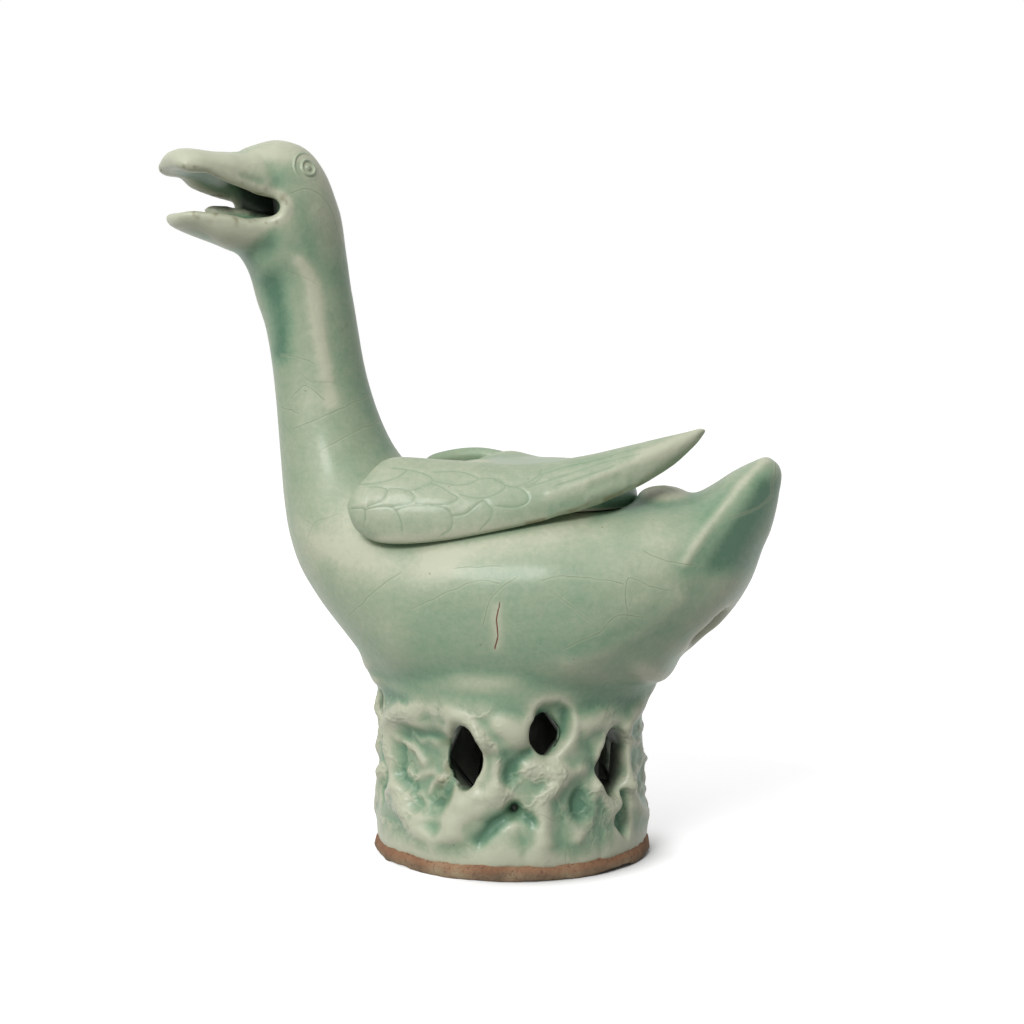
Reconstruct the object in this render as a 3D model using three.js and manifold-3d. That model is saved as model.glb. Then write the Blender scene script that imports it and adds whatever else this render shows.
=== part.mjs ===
// Duck-shaped incense burner of green-glazed stoneware, in millimetres, +Z up, beak towards -X.
// A hollow bird stands on a pierced rock pedestal. Incense burns in the body, and the smoke
// leaves through the neck and the open beak. The bird's back with its two wings lifts off.
// The potter makes the pieces apart and lutes them with slip, so each one is its own mesh here.
import * as THREE from 'three';
import { mergeVertices } from 'three/addons/utils/BufferGeometryUtils.js';
import Module from 'manifold-3d';

const wasm = await Module();
wasm.setup();

// Driving dimensions shared by several pieces
const seam = 0.3; // slip-filled gap between two luted pieces
const wall = 5; // clay wall of the body and the neck
const footHeight = 5.5; // bare clay rim at the very bottom
const footWall = 7.5; // width of the bare rim
const rockLength = 41.5; // pedestal's outer half-length at the foot, along the bird
const rockWidth = 40.5; // pedestal's outer half-width at the foot
const rockWaist = 2.2; // how far the rock draws in halfway up
const rockSinks = 45.5; // how far below the lid's seat the rock ends, inside the belly
const rockWall = 8; // thickness of the rockwork
const headTurn = 38; // degrees that the head looks over the bird's left shoulder

// Lid and its seat on the back
const seatHeight = 103.5; // flat land that the lid rests on
const rockTop = seatHeight - rockSinks; // the rock is built this high and then cut to the belly
const seatMiddle = 6; // centre of the opening along the bird
const mouthLength = 27; // half-length of the oval opening
const mouthWidth = 21; // half-width of the oval opening
const landWidth = 5; // width of the flat land around the opening
const lidClearance = 0.8; // play all round the lid
const lidRise = 12.6; // height of the domed back over its seat
const lidWall = 4.5; // clay wall of the domed back
const lidReach = 4; // how far the back reaches out over the flanks, into the wings
const flangeDepth = 6; // how far the locating flange hangs into the opening
const flangeWall = 3.4;

// Outline of the bird from the tail's tip, along the belly and up the neck. Each station is a
// ring through one point of the underside (or breast) and one of the back, as [x, height over
// the lid's seat], with the ring's half-width and its squareness: 2 is an ellipse, more is
// boxier, less has a ridge.
const birdStations = [
  { name: 'tip', under: [78.0, 13.3], back: [74.4, 14.9], width: 3.2, square: 2.0 },
  { name: 'tail', under: [79.2, 9.9], back: [70.4, 13.5], width: 8.0, square: 1.8 },
  { name: 'tail', under: [78.9, 5.1], back: [65.0, 10.7], width: 12.5, square: 1.7 },
  { name: 'tail', under: [77.6, -0.9], back: [59.2, 6.9], width: 17.0, square: 1.65 },
  { name: 'rump', under: [75.4, -8.3], back: [53.5, 4.1], width: 21.5, square: 1.7 },
  { name: 'rump', under: [71.8, -17.5], back: [48.5, 3.9], width: 26.5, square: 1.8 },
  { name: 'body', under: [66.2, -27.9], back: [42.5, 3.7], width: 31.5, square: 2.0 },
  { name: 'body', under: [56.4, -37.9], back: [35.0, 3.5], width: 36.0, square: 2.1 },
  { name: 'body', under: [43.6, -47.5], back: [26.0, 3.5], width: 39.5, square: 2.2 },
  { name: 'body', under: [29.0, -56.1], back: [16.0, 3.5], width: 42.0, square: 2.4 },
  { name: 'body', under: [8.0, -60.3], back: [7.0, 3.5], width: 43.0, square: 2.4 },
  { name: 'body', under: [-14.0, -59.9], back: [-1.0, 3.5], width: 42.8, square: 2.4 },
  { name: 'body', under: [-31.0, -54.9], back: [-8.0, 3.5], width: 41.6, square: 2.3 },
  { name: 'breast', under: [-41.0, -47.5], back: [-14.0, 3.5], width: 39.4, square: 2.15 },
  { name: 'breast', under: [-49.4, -38.5], back: [-19.5, 4.0], width: 36.6, square: 2.05 },
  { name: 'breast', under: [-57.4, -29.1], back: [-24.0, 5.1], width: 33.2, square: 2.0 },
  { name: 'breast', under: [-63.6, -19.9], back: [-28.0, 7.1], width: 29.4, square: 2.0 },
  { name: 'breast', under: [-67.2, -10.5], back: [-31.5, 9.7], width: 25.8, square: 2.0 },
  { name: 'breast', under: [-69.0, -1.5], back: [-34.8, 13.3], width: 22.2, square: 2.0 },
  { name: 'neck', under: [-70.2, 8.0], back: [-37.8, 18.1], width: 19.0, square: 2.0 },
  { name: 'neck', under: [-71.3, 18.0], back: [-41.0, 25.5], width: 16.6, square: 2.0 },
  { name: 'neck', under: [-72.2, 28.0], back: [-44.0, 34.5], width: 15.0, square: 2.0 },
  { name: 'neck', under: [-73.0, 37.5], back: [-46.2, 43.5], width: 14.0, square: 2.0 },
  { name: 'neck', under: [-74.2, 47.5], back: [-47.8, 52.5], width: 13.8, square: 2.0 },
  { name: 'neck', under: [-76.2, 56.7], back: [-49.2, 60.3], width: 14.0, square: 2.0 },
  { name: 'neck', under: [-79.0, 64.5], back: [-50.2, 64.5], width: 14.2, square: 2.0 },
];
const tailEnds = 4; // station where the tail is luted on
const rumpEnds = 8; // station where the rump ends and the belly begins
const bellyEnds = 13; // station where the belly ends and the breast begins
const bodyEnds = 19; // station where the neck is luted on
const cavityStarts = 6.4; // station where the hollow of the body begins
const neckTop = birdStations.at(-1);
const neckAxis = (neckTop.under[0] + neckTop.back[0]) / 2;
const neckTopHeight = seatHeight + neckTop.under[1];

// Head in its own frame, whose origin is on the neck's axis: [z, front, back, half-width]
const headLevels = [
  [neckTopHeight + seam, -14.4, 14.4, 14.2],
  [neckTopHeight + 4.0, -15.7, 14.2, 14.3],
  [neckTopHeight + 8.0, -17.8, 13.6, 14.5],
  [neckTopHeight + 12.0, -19.6, 13.1, 14.6],
  [neckTopHeight + 17.0, -20.4, 12.4, 14.8],
  [neckTopHeight + 22.0, -20.4, 11.5, 14.7],
  [neckTopHeight + 27.0, -20.4, 10.2, 14.2],
  [neckTopHeight + 31.5, -20.2, 8.6, 13.3],
  [neckTopHeight + 35.0, -19.6, 6.8, 12.0],
  [neckTopHeight + 38.0, -18.0, 4.4, 10.2],
  [neckTopHeight + 40.5, -15.0, 1.2, 7.8],
  [neckTopHeight + 42.0, -12.2, -2.2, 5.2],
  [neckTopHeight + 42.9, -9.4, -5.4, 2.2],
];

// Bills in the head's frame: [x, top, underside, half-width], with heights over the neck's top
const overNeck = (rows) => rows.map(([x, top, under, width]) =>
  [x, neckTopHeight + top, neckTopHeight + under, width]);
const upperBillStations = overNeck([
  [-12.0, 40.2, 23.6, 12.6],
  [-16.0, 39.8, 25.2, 13.0],
  [-20.0, 38.7, 26.6, 13.0],
  [-24.5, 38.5, 28.0, 13.1],
  [-29.0, 39.6, 29.8, 13.6],
  [-33.0, 40.3, 31.0, 13.9],
  [-37.0, 40.5, 31.4, 13.4],
  [-39.6, 40.1, 31.5, 11.8],
  [-41.2, 38.9, 31.9, 9.2],
  [-41.9, 37.2, 33.0, 5.8],
]);
const lowerBillStations = overNeck([
  [-10.0, 17.8, 8.0, 12.2],
  [-15.0, 18.4, 8.8, 12.6],
  [-20.0, 19.2, 10.2, 12.6],
  [-25.0, 20.3, 11.4, 12.2],
  [-30.0, 21.3, 13.0, 11.6],
  [-34.5, 21.7, 14.6, 10.6],
  [-38.0, 21.4, 16.0, 8.8],
  [-39.8, 20.9, 16.9, 6.6],
  [-40.6, 20.1, 17.9, 3.8],
]);
const billRoll = 5.5; // degrees that the upper bill sags to the bird's right, as fired
const billRim = 3.2; // width of the rim round each bill
const palateDepth = 2.6; // how deep the hollow inside each rim is
const billGape = {
  corner: [-13.2, neckTopHeight + 22.6],
  radius: 3.0,
  skew: 8.8, // how much further forward the corner lies on the bird's right
  upper: [-36, neckTopHeight + 32.2],
  lower: [-36, neckTopHeight + 21.0],
};
const throatRadius = 6.2; // flue where it opens into the beak
const tongueLength = 17;
const tongueWidth = 4.6;
const tongueThickness = 5;
const tongueLift = 1.6; // how much higher the tongue's tip is than its root
const eyeBelowCrown = 8.7;
const eyeHeight = headLevels.at(-1)[0] - eyeBelowCrown;
const eyeForward = -1.7; // the eye's place along the head
const eyeRadius = 2.6; // outside of the eye's ring
const eyeBead = 0.6; // half-thickness of the ring
const pupilRadius = 1.0;
const pupilFlatness = 0.75;

// Left wing: lower edge, upper edge and thickness at stations from the shoulder to the tip,
// with heights over the lid's seat. The right wing is its mirror image, but each was shaped by
// hand: right says how far its station lies further back, and its upper edge higher.
const wingStations = [
  { low: [-39.2, -34.6, -0.1], high: [-38.8, -33.4, 3.5], thick: 2.6, right: [0, 0] },
  { low: [-36.6, -37.2, -4.8], high: [-36.4, -31.0, 9.4], thick: 5.2, right: [0, 0] },
  { low: [-28.4, -38.2, -7.7], high: [-30.0, -26.2, 15.4], thick: 6.2, right: [0, 0] },
  { low: [-12.0, -38.0, -6.3], high: [-14.0, -23.2, 16.2], thick: 6.4, right: [0, -0.4] },
  { low: [6.0, -35.0, -2.7], high: [6.0, -20.4, 15.0], thick: 6.2, right: [0, -2.6] },
  { low: [23.0, -30.4, 1.9], high: [24.0, -17.0, 15.8], thick: 6.2, right: [-0.5, -2.2] },
  { low: [39.0, -23.4, 7.6], high: [38.6, -13.6, 19.0], thick: 6.6, right: [-2, -1.6] },
  { low: [50.0, -15.6, 13.8], high: [50.4, -10.2, 21.7], thick: 5.6, right: [-4, -1] },
  { low: [56.9, -10.4, 20.6], high: [57.3, -8.8, 22.8], thick: 2.2, right: [-5, -1] },
];
const wingCamber = 3; // how far the wing's outer face bulges

// Vent under the tail
const ventCentre = [60, -11, seatHeight - 33.5];
const ventWidth = 6; // half-width
const ventLength = 8; // half-length, up the rump
const ventPitch = 38; // degrees that it faces down
const ventTurn = 14; // degrees that it faces to the bird's left

// Holes that pierce the rock, and hollows that only dent it. Each has a raised lip round it:
// [degrees round from the tail, share of the rock's height, half-width, half-height, lip]
const rockHoles = [
  [262, 0.595, 5.6, 8.8, 2.4],
  [297, 0.741, 6.0, 7.6, 1.8],
  [330, 0.543, 7.0, 8.8, 2.2],
  [12, 0.638, 5.6, 7.4, 2.0],
  [37, 0.435, 6.2, 8.6, 2.2],
  [80, 0.690, 5.8, 7.2, 1.8],
  [112, 0.483, 6.4, 8.8, 2.2],
  [146, 0.655, 5.8, 7.6, 2.0],
  [182, 0.491, 5.8, 8.4, 2.2],
  [205, 0.776, 3.6, 4.2, 1.4],
];
// The same with the depth of the dent at the end
const rockHollows = [
  [236, 0.483, 9.0, 13.0, 2.4, 3.4],
  [338, 0.250, 5.6, 6.4, 1.6, 3.0],
  [311, 0.336, 4.0, 4.4, 1.0, 2.2],
  [283, 0.336, 2.8, 3.2, 0.8, 2.0],
  [15, 0.293, 6.0, 6.0, 1.4, 2.8],
  [62, 0.793, 5.0, 5.0, 1.2, 2.4],
  [84, 0.293, 7.0, 6.0, 1.6, 3.0],
  [140, 0.276, 6.0, 6.0, 1.4, 2.8],
  [170, 0.793, 5.0, 5.0, 1.2, 2.4],
  [208, 0.345, 5.0, 7.0, 1.4, 2.6],
];
const rockLipWidth = 0.34; // width of a lip, as a share of its hole

const celadon = (hex, roughness = 0.25) =>
  new THREE.MeshStandardMaterial({ color: hex, roughness, metalness: 0 });
const glaze = celadon(0xa9c2a6);
const paleGlaze = celadon(0xb9c9ac);
const deepGlaze = celadon(0x8fb39a);
const bareClay = celadon(0xa8704f, 0.85);

// Solids: three.js geometry to a manifold for cutting, and back
function solid(geometry) {
  const bare = geometry.clone();
  for (const name of Object.keys(bare.attributes)) {
    if (name !== 'position') bare.deleteAttribute(name);
  }
  const merged = mergeVertices(bare, 1e-4);
  return new wasm.Manifold(new wasm.Mesh({
    numProp: 3,
    vertProperties: Float32Array.from(merged.attributes.position.array),
    triVerts: Uint32Array.from(merged.index.array),
  }));
}

function geometryOf(manifold) {
  const { vertProperties, numProp, triVerts } = manifold.getMesh();
  const count = vertProperties.length / numProp;
  const points = new Float32Array(count * 3);
  for (let i = 0; i < count; i += 1) {
    for (let k = 0; k < 3; k += 1) points[3 * i + k] = vertProperties[numProp * i + k];
  }
  const geometry = new THREE.BufferGeometry();
  geometry.setAttribute('position', new THREE.BufferAttribute(points, 3));
  geometry.setIndex(Array.from(triVerts));
  return geometry;
}

function mesh(name, shape, material) {
  const geometry = shape.isBufferGeometry ? shape : geometryOf(shape);
  geometry.computeVertexNormals();
  const piece = new THREE.Mesh(geometry, material);
  piece.name = name;
  return piece;
}

// Loft: joins rings of equally many points, and closes each end on its centre
function loft(rings) {
  const count = rings[0].length;
  const points = rings.flat();
  const index = [];
  for (let r = 0; r + 1 < rings.length; r += 1) {
    for (let k = 0; k < count; k += 1) {
      const a = r * count + k;
      const b = r * count + (k + 1) % count;
      index.push(a, b, a + count, b, b + count, a + count);
    }
  }
  for (const [ring, first, flip] of [[rings[0], 0, true], [rings.at(-1), points.length - count, false]]) {
    const centre = ring.reduce((sum, p) => sum.add(p), new THREE.Vector3()).divideScalar(count);
    const apex = points.push(centre) - 1;
    for (let k = 0; k < count; k += 1) {
      const a = first + k;
      const b = first + (k + 1) % count;
      if (flip) index.push(b, a, apex);
      else index.push(a, b, apex);
    }
  }
  if (signedVolume(points, index) < 0) index.reverse();
  const geometry = new THREE.BufferGeometry().setFromPoints(points);
  geometry.setIndex(index);
  return geometry;
}

function signedVolume(points, index) {
  let six = 0;
  for (let i = 0; i < index.length; i += 3) {
    const [a, b, c] = [points[index[i]], points[index[i + 1]], points[index[i + 2]]];
    six += a.dot(new THREE.Vector3().crossVectors(b, c));
  }
  return six / 6;
}

// One point of a superellipse of half-axes 1, at the angle given
function superellipse(angle, square) {
  const bend = (value) => Math.sign(value) * Math.abs(value) ** (2 / square);
  return [bend(Math.cos(angle)), bend(Math.sin(angle))];
}

function ringOf(count, pointAt) {
  return Array.from({ length: count }, (_, k) => pointAt((2 * Math.PI * k) / count));
}

// A smooth curve through rows of numbers, as a function of the row's number
function smoothRows(rows) {
  const columns = rows[0].map((_, c) =>
    new THREE.SplineCurve(rows.map((row) => new THREE.Vector2(row[c], 0))));
  return (t) => columns.map((curve) => curve.getPoint(t / (rows.length - 1)).x);
}

// Bird's skin, grown outwards by a number of millimetres (or shrunk, if it is negative)
const birdRow = smoothRows(birdStations.map(({ under, back, width, square }) =>
  [under[0], seatHeight + under[1], back[0], seatHeight + back[1], width, square]));

function birdRing(t, grow, count) {
  const [ux, uz, bx, bz, width, square] = birdRow(t);
  const middle = new THREE.Vector3((ux + bx) / 2, 0, (uz + bz) / 2);
  const rise = new THREE.Vector3(bx - ux, 0, bz - uz).divideScalar(2);
  rise.setLength(rise.length() + grow);
  return ringOf(count, (angle) => {
    const [up, side] = superellipse(angle, square);
    return middle.clone().addScaledVector(rise, up)
      .add(new THREE.Vector3(0, (width + grow) * side, 0));
  });
}

function birdLoft(from, to, grow, count, steps) {
  const rings = [];
  for (let i = 0; i <= steps; i += 1) {
    rings.push(birdRing(from + ((to - from) * i) / steps, grow, count));
  }
  return loft(rings);
}

// How far along the stations one seam's width takes
function seamStep(t) {
  const middle = (s) => {
    const [ux, uz, bx, bz] = birdRow(s);
    return new THREE.Vector2((ux + bx) / 2, (uz + bz) / 2);
  };
  const step = 0.05;
  return (seam * step) / middle(t + step).distanceTo(middle(t));
}

// Oval prism or dome on the lid's axis: rings of [z, half-length, half-width]
function ovalLoft(levels, count = 40) {
  return loft(levels.map(([z, length, width]) => ringOf(count, (angle) =>
    new THREE.Vector3(seatMiddle + length * Math.cos(angle), width * Math.sin(angle), z))));
}

// Ellipsoid with its three half-axes, turned about Z and put in place
function ellipsoid(at, half, turn = 0, segments = 16) {
  const geometry = new THREE.SphereGeometry(1, segments, segments / 2);
  geometry.scale(...half);
  geometry.rotateZ(turn);
  geometry.translate(...at);
  return geometry;
}

// Tube of varying radius along a smooth path: nodes of [x, y, z, radius]
function tube(nodes, count, steps) {
  const rowAt = smoothRows(nodes);
  const last = nodes.length - 1;
  const rings = [];
  for (let i = 0; i <= steps; i += 1) {
    const t = (last * i) / steps;
    const [x, y, z, radius] = rowAt(t);
    const ahead = rowAt(Math.min(t + 0.02, last));
    const behind = rowAt(Math.max(t - 0.02, 0));
    const along = new THREE.Vector3(...[0, 1, 2].map((k) => ahead[k] - behind[k])).normalize();
    const side = new THREE.Vector3(0, 1, 0).addScaledVector(along, -along.y).normalize();
    const up = new THREE.Vector3().crossVectors(along, side);
    rings.push(ringOf(count, (angle) => new THREE.Vector3(x, y, z)
      .addScaledVector(side, radius * Math.cos(angle))
      .addScaledVector(up, radius * Math.sin(angle))));
  }
  return loft(rings);
}

// Pierced rock pedestal and its bare foot
function rockDistance(angle, z, [degrees, climb, width, tall]) {
  const turn = angle - THREE.MathUtils.degToRad(degrees);
  const across = rockLength * Math.atan2(Math.sin(turn), Math.cos(turn));
  return Math.hypot(across / width, (z - climb * rockTop) / tall);
}

function rockBulge(angle, z) {
  const climb = z / rockTop;
  const lumps = 0.7 * Math.sin(5 * angle + 9 * climb) + 0.6 * Math.sin(8 * angle - 12 * climb + 1);
  let bulge = lumps - rockWaist * Math.sin(Math.PI * climb);
  for (const feature of [...rockHoles, ...rockHollows]) {
    const distance = rockDistance(angle, z, feature);
    const [lip, dent = 0] = feature.slice(4);
    bulge += lip * Math.exp(-(((distance - 1.35) / rockLipWidth) ** 2));
    bulge -= dent * Math.exp(-((distance / 0.8) ** 4));
  }
  const edge = Math.min(1, (z - footHeight) / 6);
  return bulge * (0.25 + 0.75 * edge);
}

function rockRing(z, inwards, lumpy, count) {
  return ringOf(count, (angle) => {
    const bulge = lumpy ? rockBulge(angle, z) : 0;
    return new THREE.Vector3(
      (rockLength - inwards + bulge) * Math.cos(angle),
      (rockWidth - inwards + bulge) * Math.sin(angle),
      z,
    );
  });
}

function makeRockPedestal() {
  const levels = 14;
  const outer = loft(Array.from({ length: levels + 1 }, (_, i) =>
    rockRing(footHeight + ((rockTop - footHeight) * i) / levels, 0, true, 58)));
  const inner = loft([footHeight - 1, rockTop + 1].map((z) => rockRing(z, rockWall, false, 24)));
  let rock = solid(outer).subtract(solid(inner));
  for (const [degrees, climb, width, tall] of rockHoles) {
    const angle = THREE.MathUtils.degToRad(degrees);
    const middle = rockLength - rockWall / 2;
    const at = [middle * Math.cos(angle), middle * Math.sin(angle), climb * rockTop];
    rock = rock.subtract(solid(ellipsoid(at, [rockWall * 1.7, width, tall], angle, 12)));
  }
  return rock.subtract(bodySkin(seam));
}

function makeFootRing() {
  const outer = loft([0, 1, footHeight].map((z) =>
    rockRing(z, z === 0 ? 1 : 0, false, 44)));
  const inner = loft([-1, footHeight + 1].map((z) => rockRing(z, footWall, false, 28)));
  return solid(outer).subtract(solid(inner));
}

// Skin of one length of the body, between two stations, less half a seam at each end
function lengthSkin(from, to, grow) {
  const steps = Math.round((to - from) * 1.4);
  return solid(birdLoft(from + seamStep(from) / 2, to - seamStep(to) / 2, grow, 32, steps));
}

const bodyLengths = [[tailEnds, rumpEnds], [rumpEnds, bellyEnds], [bellyEnds, bodyEnds]];

// Skin of the whole body with its seams closed, for fitting what it rests on or carries
function bodySkin(grow) {
  const closed = solid(birdLoft(tailEnds, bodyEnds, grow, 32, 24));
  return bodyLengths.reduce((skin, [from, to]) => skin.add(lengthSkin(from, to, grow)), closed);
}

const flue = solid(birdLoft(cavityStarts, birdStations.length - 1, -wall, 22, 20))
  .add(solid(loft([-1, 3].map((lift) => ringOf(22, (angle) => {
    const [up, side] = superellipse(angle, neckTop.square);
    return new THREE.Vector3(
      neckAxis + up * ((neckTop.back[0] - neckTop.under[0]) / 2 - wall),
      side * (neckTop.width - wall),
      neckTopHeight + lift,
    );
  })))));

// The opening's oval, and the land round it, as cutters that reach up out of the back
const openingCutter = solid(ovalLoft([-20, 30].map((lift) =>
  [seatHeight + lift, mouthLength, mouthWidth])));
const landCutter = solid(ovalLoft([0, 30].map((lift) =>
  [seatHeight + lift, mouthLength + landWidth, mouthWidth + landWidth + 12])));

// One length of the hollow body, between two stations
function bodyLength(from, to) {
  return lengthSkin(from, to, 0).subtract(flue).subtract(openingCutter).subtract(landCutter)
    .subtract(ventCutter());
}

// Left or right half of a length, as it comes from its half of the mould
function mouldHalf(length, sideSign) {
  const far = 200;
  const other = new THREE.BoxGeometry(far, far, far);
  other.translate(0, -sideSign * (far / 2 - seam / 2), seatHeight);
  return length.subtract(solid(other));
}

// Vent in the underside of the rump that lets air in, a little to the bird's left
function ventCutter() {
  const drill = new THREE.CylinderGeometry(1, 1, wall * 5, 20);
  drill.scale(ventWidth, 1, ventLength);
  drill.rotateX(THREE.MathUtils.degToRad(-ventPitch));
  const upright = new THREE.Matrix4().makeRotationX(Math.PI / 2);
  drill.applyMatrix4(upright);
  drill.rotateZ(THREE.MathUtils.degToRad(90 - ventTurn));
  drill.translate(...ventCentre);
  return solid(drill);
}

function makeTail() {
  return birdLoft(0, tailEnds - seamStep(tailEnds) / 2, 0, 26, 8);
}

function makeNeck() {
  const last = birdStations.length - 1;
  return solid(birdLoft(bodyEnds + seamStep(bodyEnds) / 2, last, 0, 28, 8)).subtract(flue);
}

// Mound at the back of the opening, which stops the lid from sliding on to the tail
function makeRearLug() {
  const behind = seatMiddle + mouthLength + landWidth;
  const mound = solid(ellipsoid([behind + 7.6, -3, seatHeight + 2.2], [8.6, 10.5, 4.6], 0, 20));
  return mound.subtract(bodySkin(seam)).subtract(solid(birdLoft(0, tailEnds, seam, 28, 9)))
    .subtract(solid(ovalLoft([-20, 30].map((lift) =>
      [seatHeight + lift, mouthLength + landWidth, mouthWidth + landWidth]))));
}

// Head, bills, tongue and eyes, in the head's own frame
const headRow = smoothRows(headLevels);

function headRing(t, grow, count) {
  const [z, front, back, width] = headRow(t);
  return ringOf(count, (angle) => {
    const [along, side] = superellipse(angle, 2.1);
    return new THREE.Vector3(
      (front + back) / 2 + ((back - front) / 2 + grow) * along,
      (width + grow) * side,
      z,
    );
  });
}

function headLoft(grow, count = 26, steps = 13) {
  const last = headLevels.length - 1;
  return loft(Array.from({ length: steps + 1 }, (_, i) => headRing((last * i) / steps, grow, count)));
}

// Half-width of the head at a height and a place along it, for seating the eyes
function headHalfWidth(z, x) {
  let t = 0;
  while (t < headLevels.length - 1 && headRow(t)[0] < z) t += 0.01;
  const [, front, back, width] = headRow(t);
  const share = Math.abs((x - (front + back) / 2) / ((back - front) / 2));
  return width * (1 - share ** 2.1) ** (1 / 2.1);
}

// Ring of a bill: flat along one side and domed along the other
function billRing([x, top, under, width], domeUp, grow, count) {
  const middle = (top + under) / 2;
  const half = (top - under) / 2 + grow;
  return ringOf(count, (angle) => {
    const [up, side] = superellipse(angle, 2.2);
    const lean = domeUp ? -0.35 : 0.35;
    return new THREE.Vector3(x, (width + grow) * side, middle + half * (up + lean * (1 - up * up)));
  });
}

function billLoft(stations, domeUp, grow = 0, count = 20, steps = 11) {
  const rowAt = smoothRows(stations);
  const last = stations.length - 1;
  return loft(Array.from({ length: steps + 1 }, (_, i) =>
    billRing(rowAt((last * i) / steps), domeUp, grow, count)));
}

// Side view of the open mouth: a round corner that widens forwards between the two bills. The
// corner lies further forward on the bird's right.
function gapeCutter() {
  const { corner, radius, upper, lower, skew } = billGape;
  const reach = -1.2 * upperBillStations.at(-1)[0];
  const outline = new THREE.Shape();
  outline.moveTo(-reach, lower[1] - 1);
  outline.lineTo(lower[0], lower[1]);
  outline.quadraticCurveTo(corner[0] - 14, corner[1] - radius - 0.4, corner[0], corner[1] - radius);
  outline.absarc(corner[0], corner[1], radius, -Math.PI / 2, Math.PI / 2, false);
  outline.quadraticCurveTo(corner[0] - 12, corner[1] + radius + 2.6, upper[0] + 4, upper[1]);
  outline.lineTo(-reach, upper[1]);
  outline.closePath();
  const slab = new THREE.ExtrudeGeometry(outline,
    { depth: 40, steps: 16, bevelEnabled: false, curveSegments: 8 });
  slab.translate(0, 0, -20);
  slab.rotateX(Math.PI / 2);
  const { position } = slab.attributes;
  for (let i = 0; i < position.count; i += 1) {
    const right = THREE.MathUtils.smoothstep(position.getY(i), -2, 10);
    const inner = THREE.MathUtils.smoothstep(position.getX(i), upper[0], corner[0] - radius);
    position.setX(i, position.getX(i) - skew * right * inner);
  }
  return solid(slab);
}

function throatCutter() {
  const [cx, cz] = billGape.corner;
  return solid(tube([
    [0, 0, neckTopHeight - 2, neckTop.width - wall],
    [-0.5, 0, neckTopHeight + 6, neckTop.width - wall - 0.6],
    [-3, 0, neckTopHeight + 13, throatRadius + 1.4],
    [cx + 2.4, 0, cz + 0.6, throatRadius],
    [cx - 10, 0, cz + 2.2, throatRadius],
  ], 20, 12));
}

function makeHead() {
  return solid(headLoft(0)).subtract(gapeCutter()).subtract(throatCutter())
    .subtract(solid(makeTongue(seam)));
}

// Hollow inside a bill's rim, on its mouth side
function billHollow(stations, domeUp) {
  const rows = stations.filter(([, , , width]) => width > billRim * 1.8);
  return solid(billLoft(rows.map(([x, top, under, width]) => {
    const face = domeUp ? under : top;
    const floor = domeUp ? face + palateDepth : face - palateDepth;
    const open = domeUp ? face - palateDepth : face + palateDepth;
    return [x + billRim, Math.max(floor, open), Math.min(floor, open), width - billRim];
  }), domeUp, 0, 16, 8));
}

function makeUpperBill() {
  const bill = solid(billLoft(upperBillStations, true)).subtract(billHollow(upperBillStations, true));
  const [, , hingeHeight, hingeWidth] = upperBillStations[4];
  const sagged = bill.translate([0, hingeWidth, -hingeHeight]).rotate([-billRoll, 0, 0])
    .translate([0, -hingeWidth, hingeHeight]);
  return sagged.subtract(solid(headLoft(seam))).subtract(throatCutter());
}

function makeTongue(grow = 0) {
  const [root] = billGape.corner;
  const [, jaw] = lowerBillStations[2];
  return loft([0, 0.15, 0.4, 0.7, 0.9, 1].map((share) => {
    const swell = Math.sqrt(Math.max(0.1, 1 - share ** 4));
    return ringOf(14, (angle) => new THREE.Vector3(
      root - tongueLength * share,
      (tongueWidth * swell + grow) * Math.cos(angle),
      jaw + tongueLift * share + ((tongueThickness / 2) * swell + grow) * Math.sin(angle),
    ));
  }));
}

function makeLowerBill() {
  return solid(billLoft(lowerBillStations, false)).subtract(solid(headLoft(seam)))
    .subtract(billHollow(lowerBillStations, false)).subtract(solid(makeTongue(seam)));
}

// Eye: a ring and a bead in its middle, pressed on to the cheek and cut to its curve
function eyeMatrix(sideSign) {
  const frame = new THREE.Object3D();
  const y = headHalfWidth(eyeHeight, eyeForward);
  const below = headHalfWidth(eyeHeight - 2, eyeForward);
  const above = headHalfWidth(eyeHeight + 2, eyeForward);
  frame.position.set(eyeForward, sideSign * y, eyeHeight);
  frame.rotation.x = sideSign * (-Math.PI / 2 + Math.atan2(below - above, 4));
  frame.updateMatrix();
  return frame.matrix;
}

function onCheek(geometry, sideSign) {
  geometry.translate(0, 0, seam);
  geometry.applyMatrix4(eyeMatrix(sideSign));
  return solid(geometry).subtract(solid(headLoft(seam)));
}

const makeEyeRing = (sideSign) =>
  onCheek(new THREE.TorusGeometry(eyeRadius - eyeBead, eyeBead, 6, 16), sideSign);

function makePupil(sideSign) {
  const bead = new THREE.SphereGeometry(pupilRadius, 10, 6);
  bead.scale(1, 1, pupilFlatness);
  return onCheek(bead, sideSign);
}

// Lid: domed back, locating flange and the two wings
const wingRow = smoothRows(wingStations.map(({ low, high, thick }) => [...low, ...high, thick]));
const rightRow = smoothRows(wingStations.map(({ low, high, thick, right: [back, up] }) =>
  [low[0] + back, low[1], low[2], high[0] + back, high[1], high[2] + up, thick]));

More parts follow.
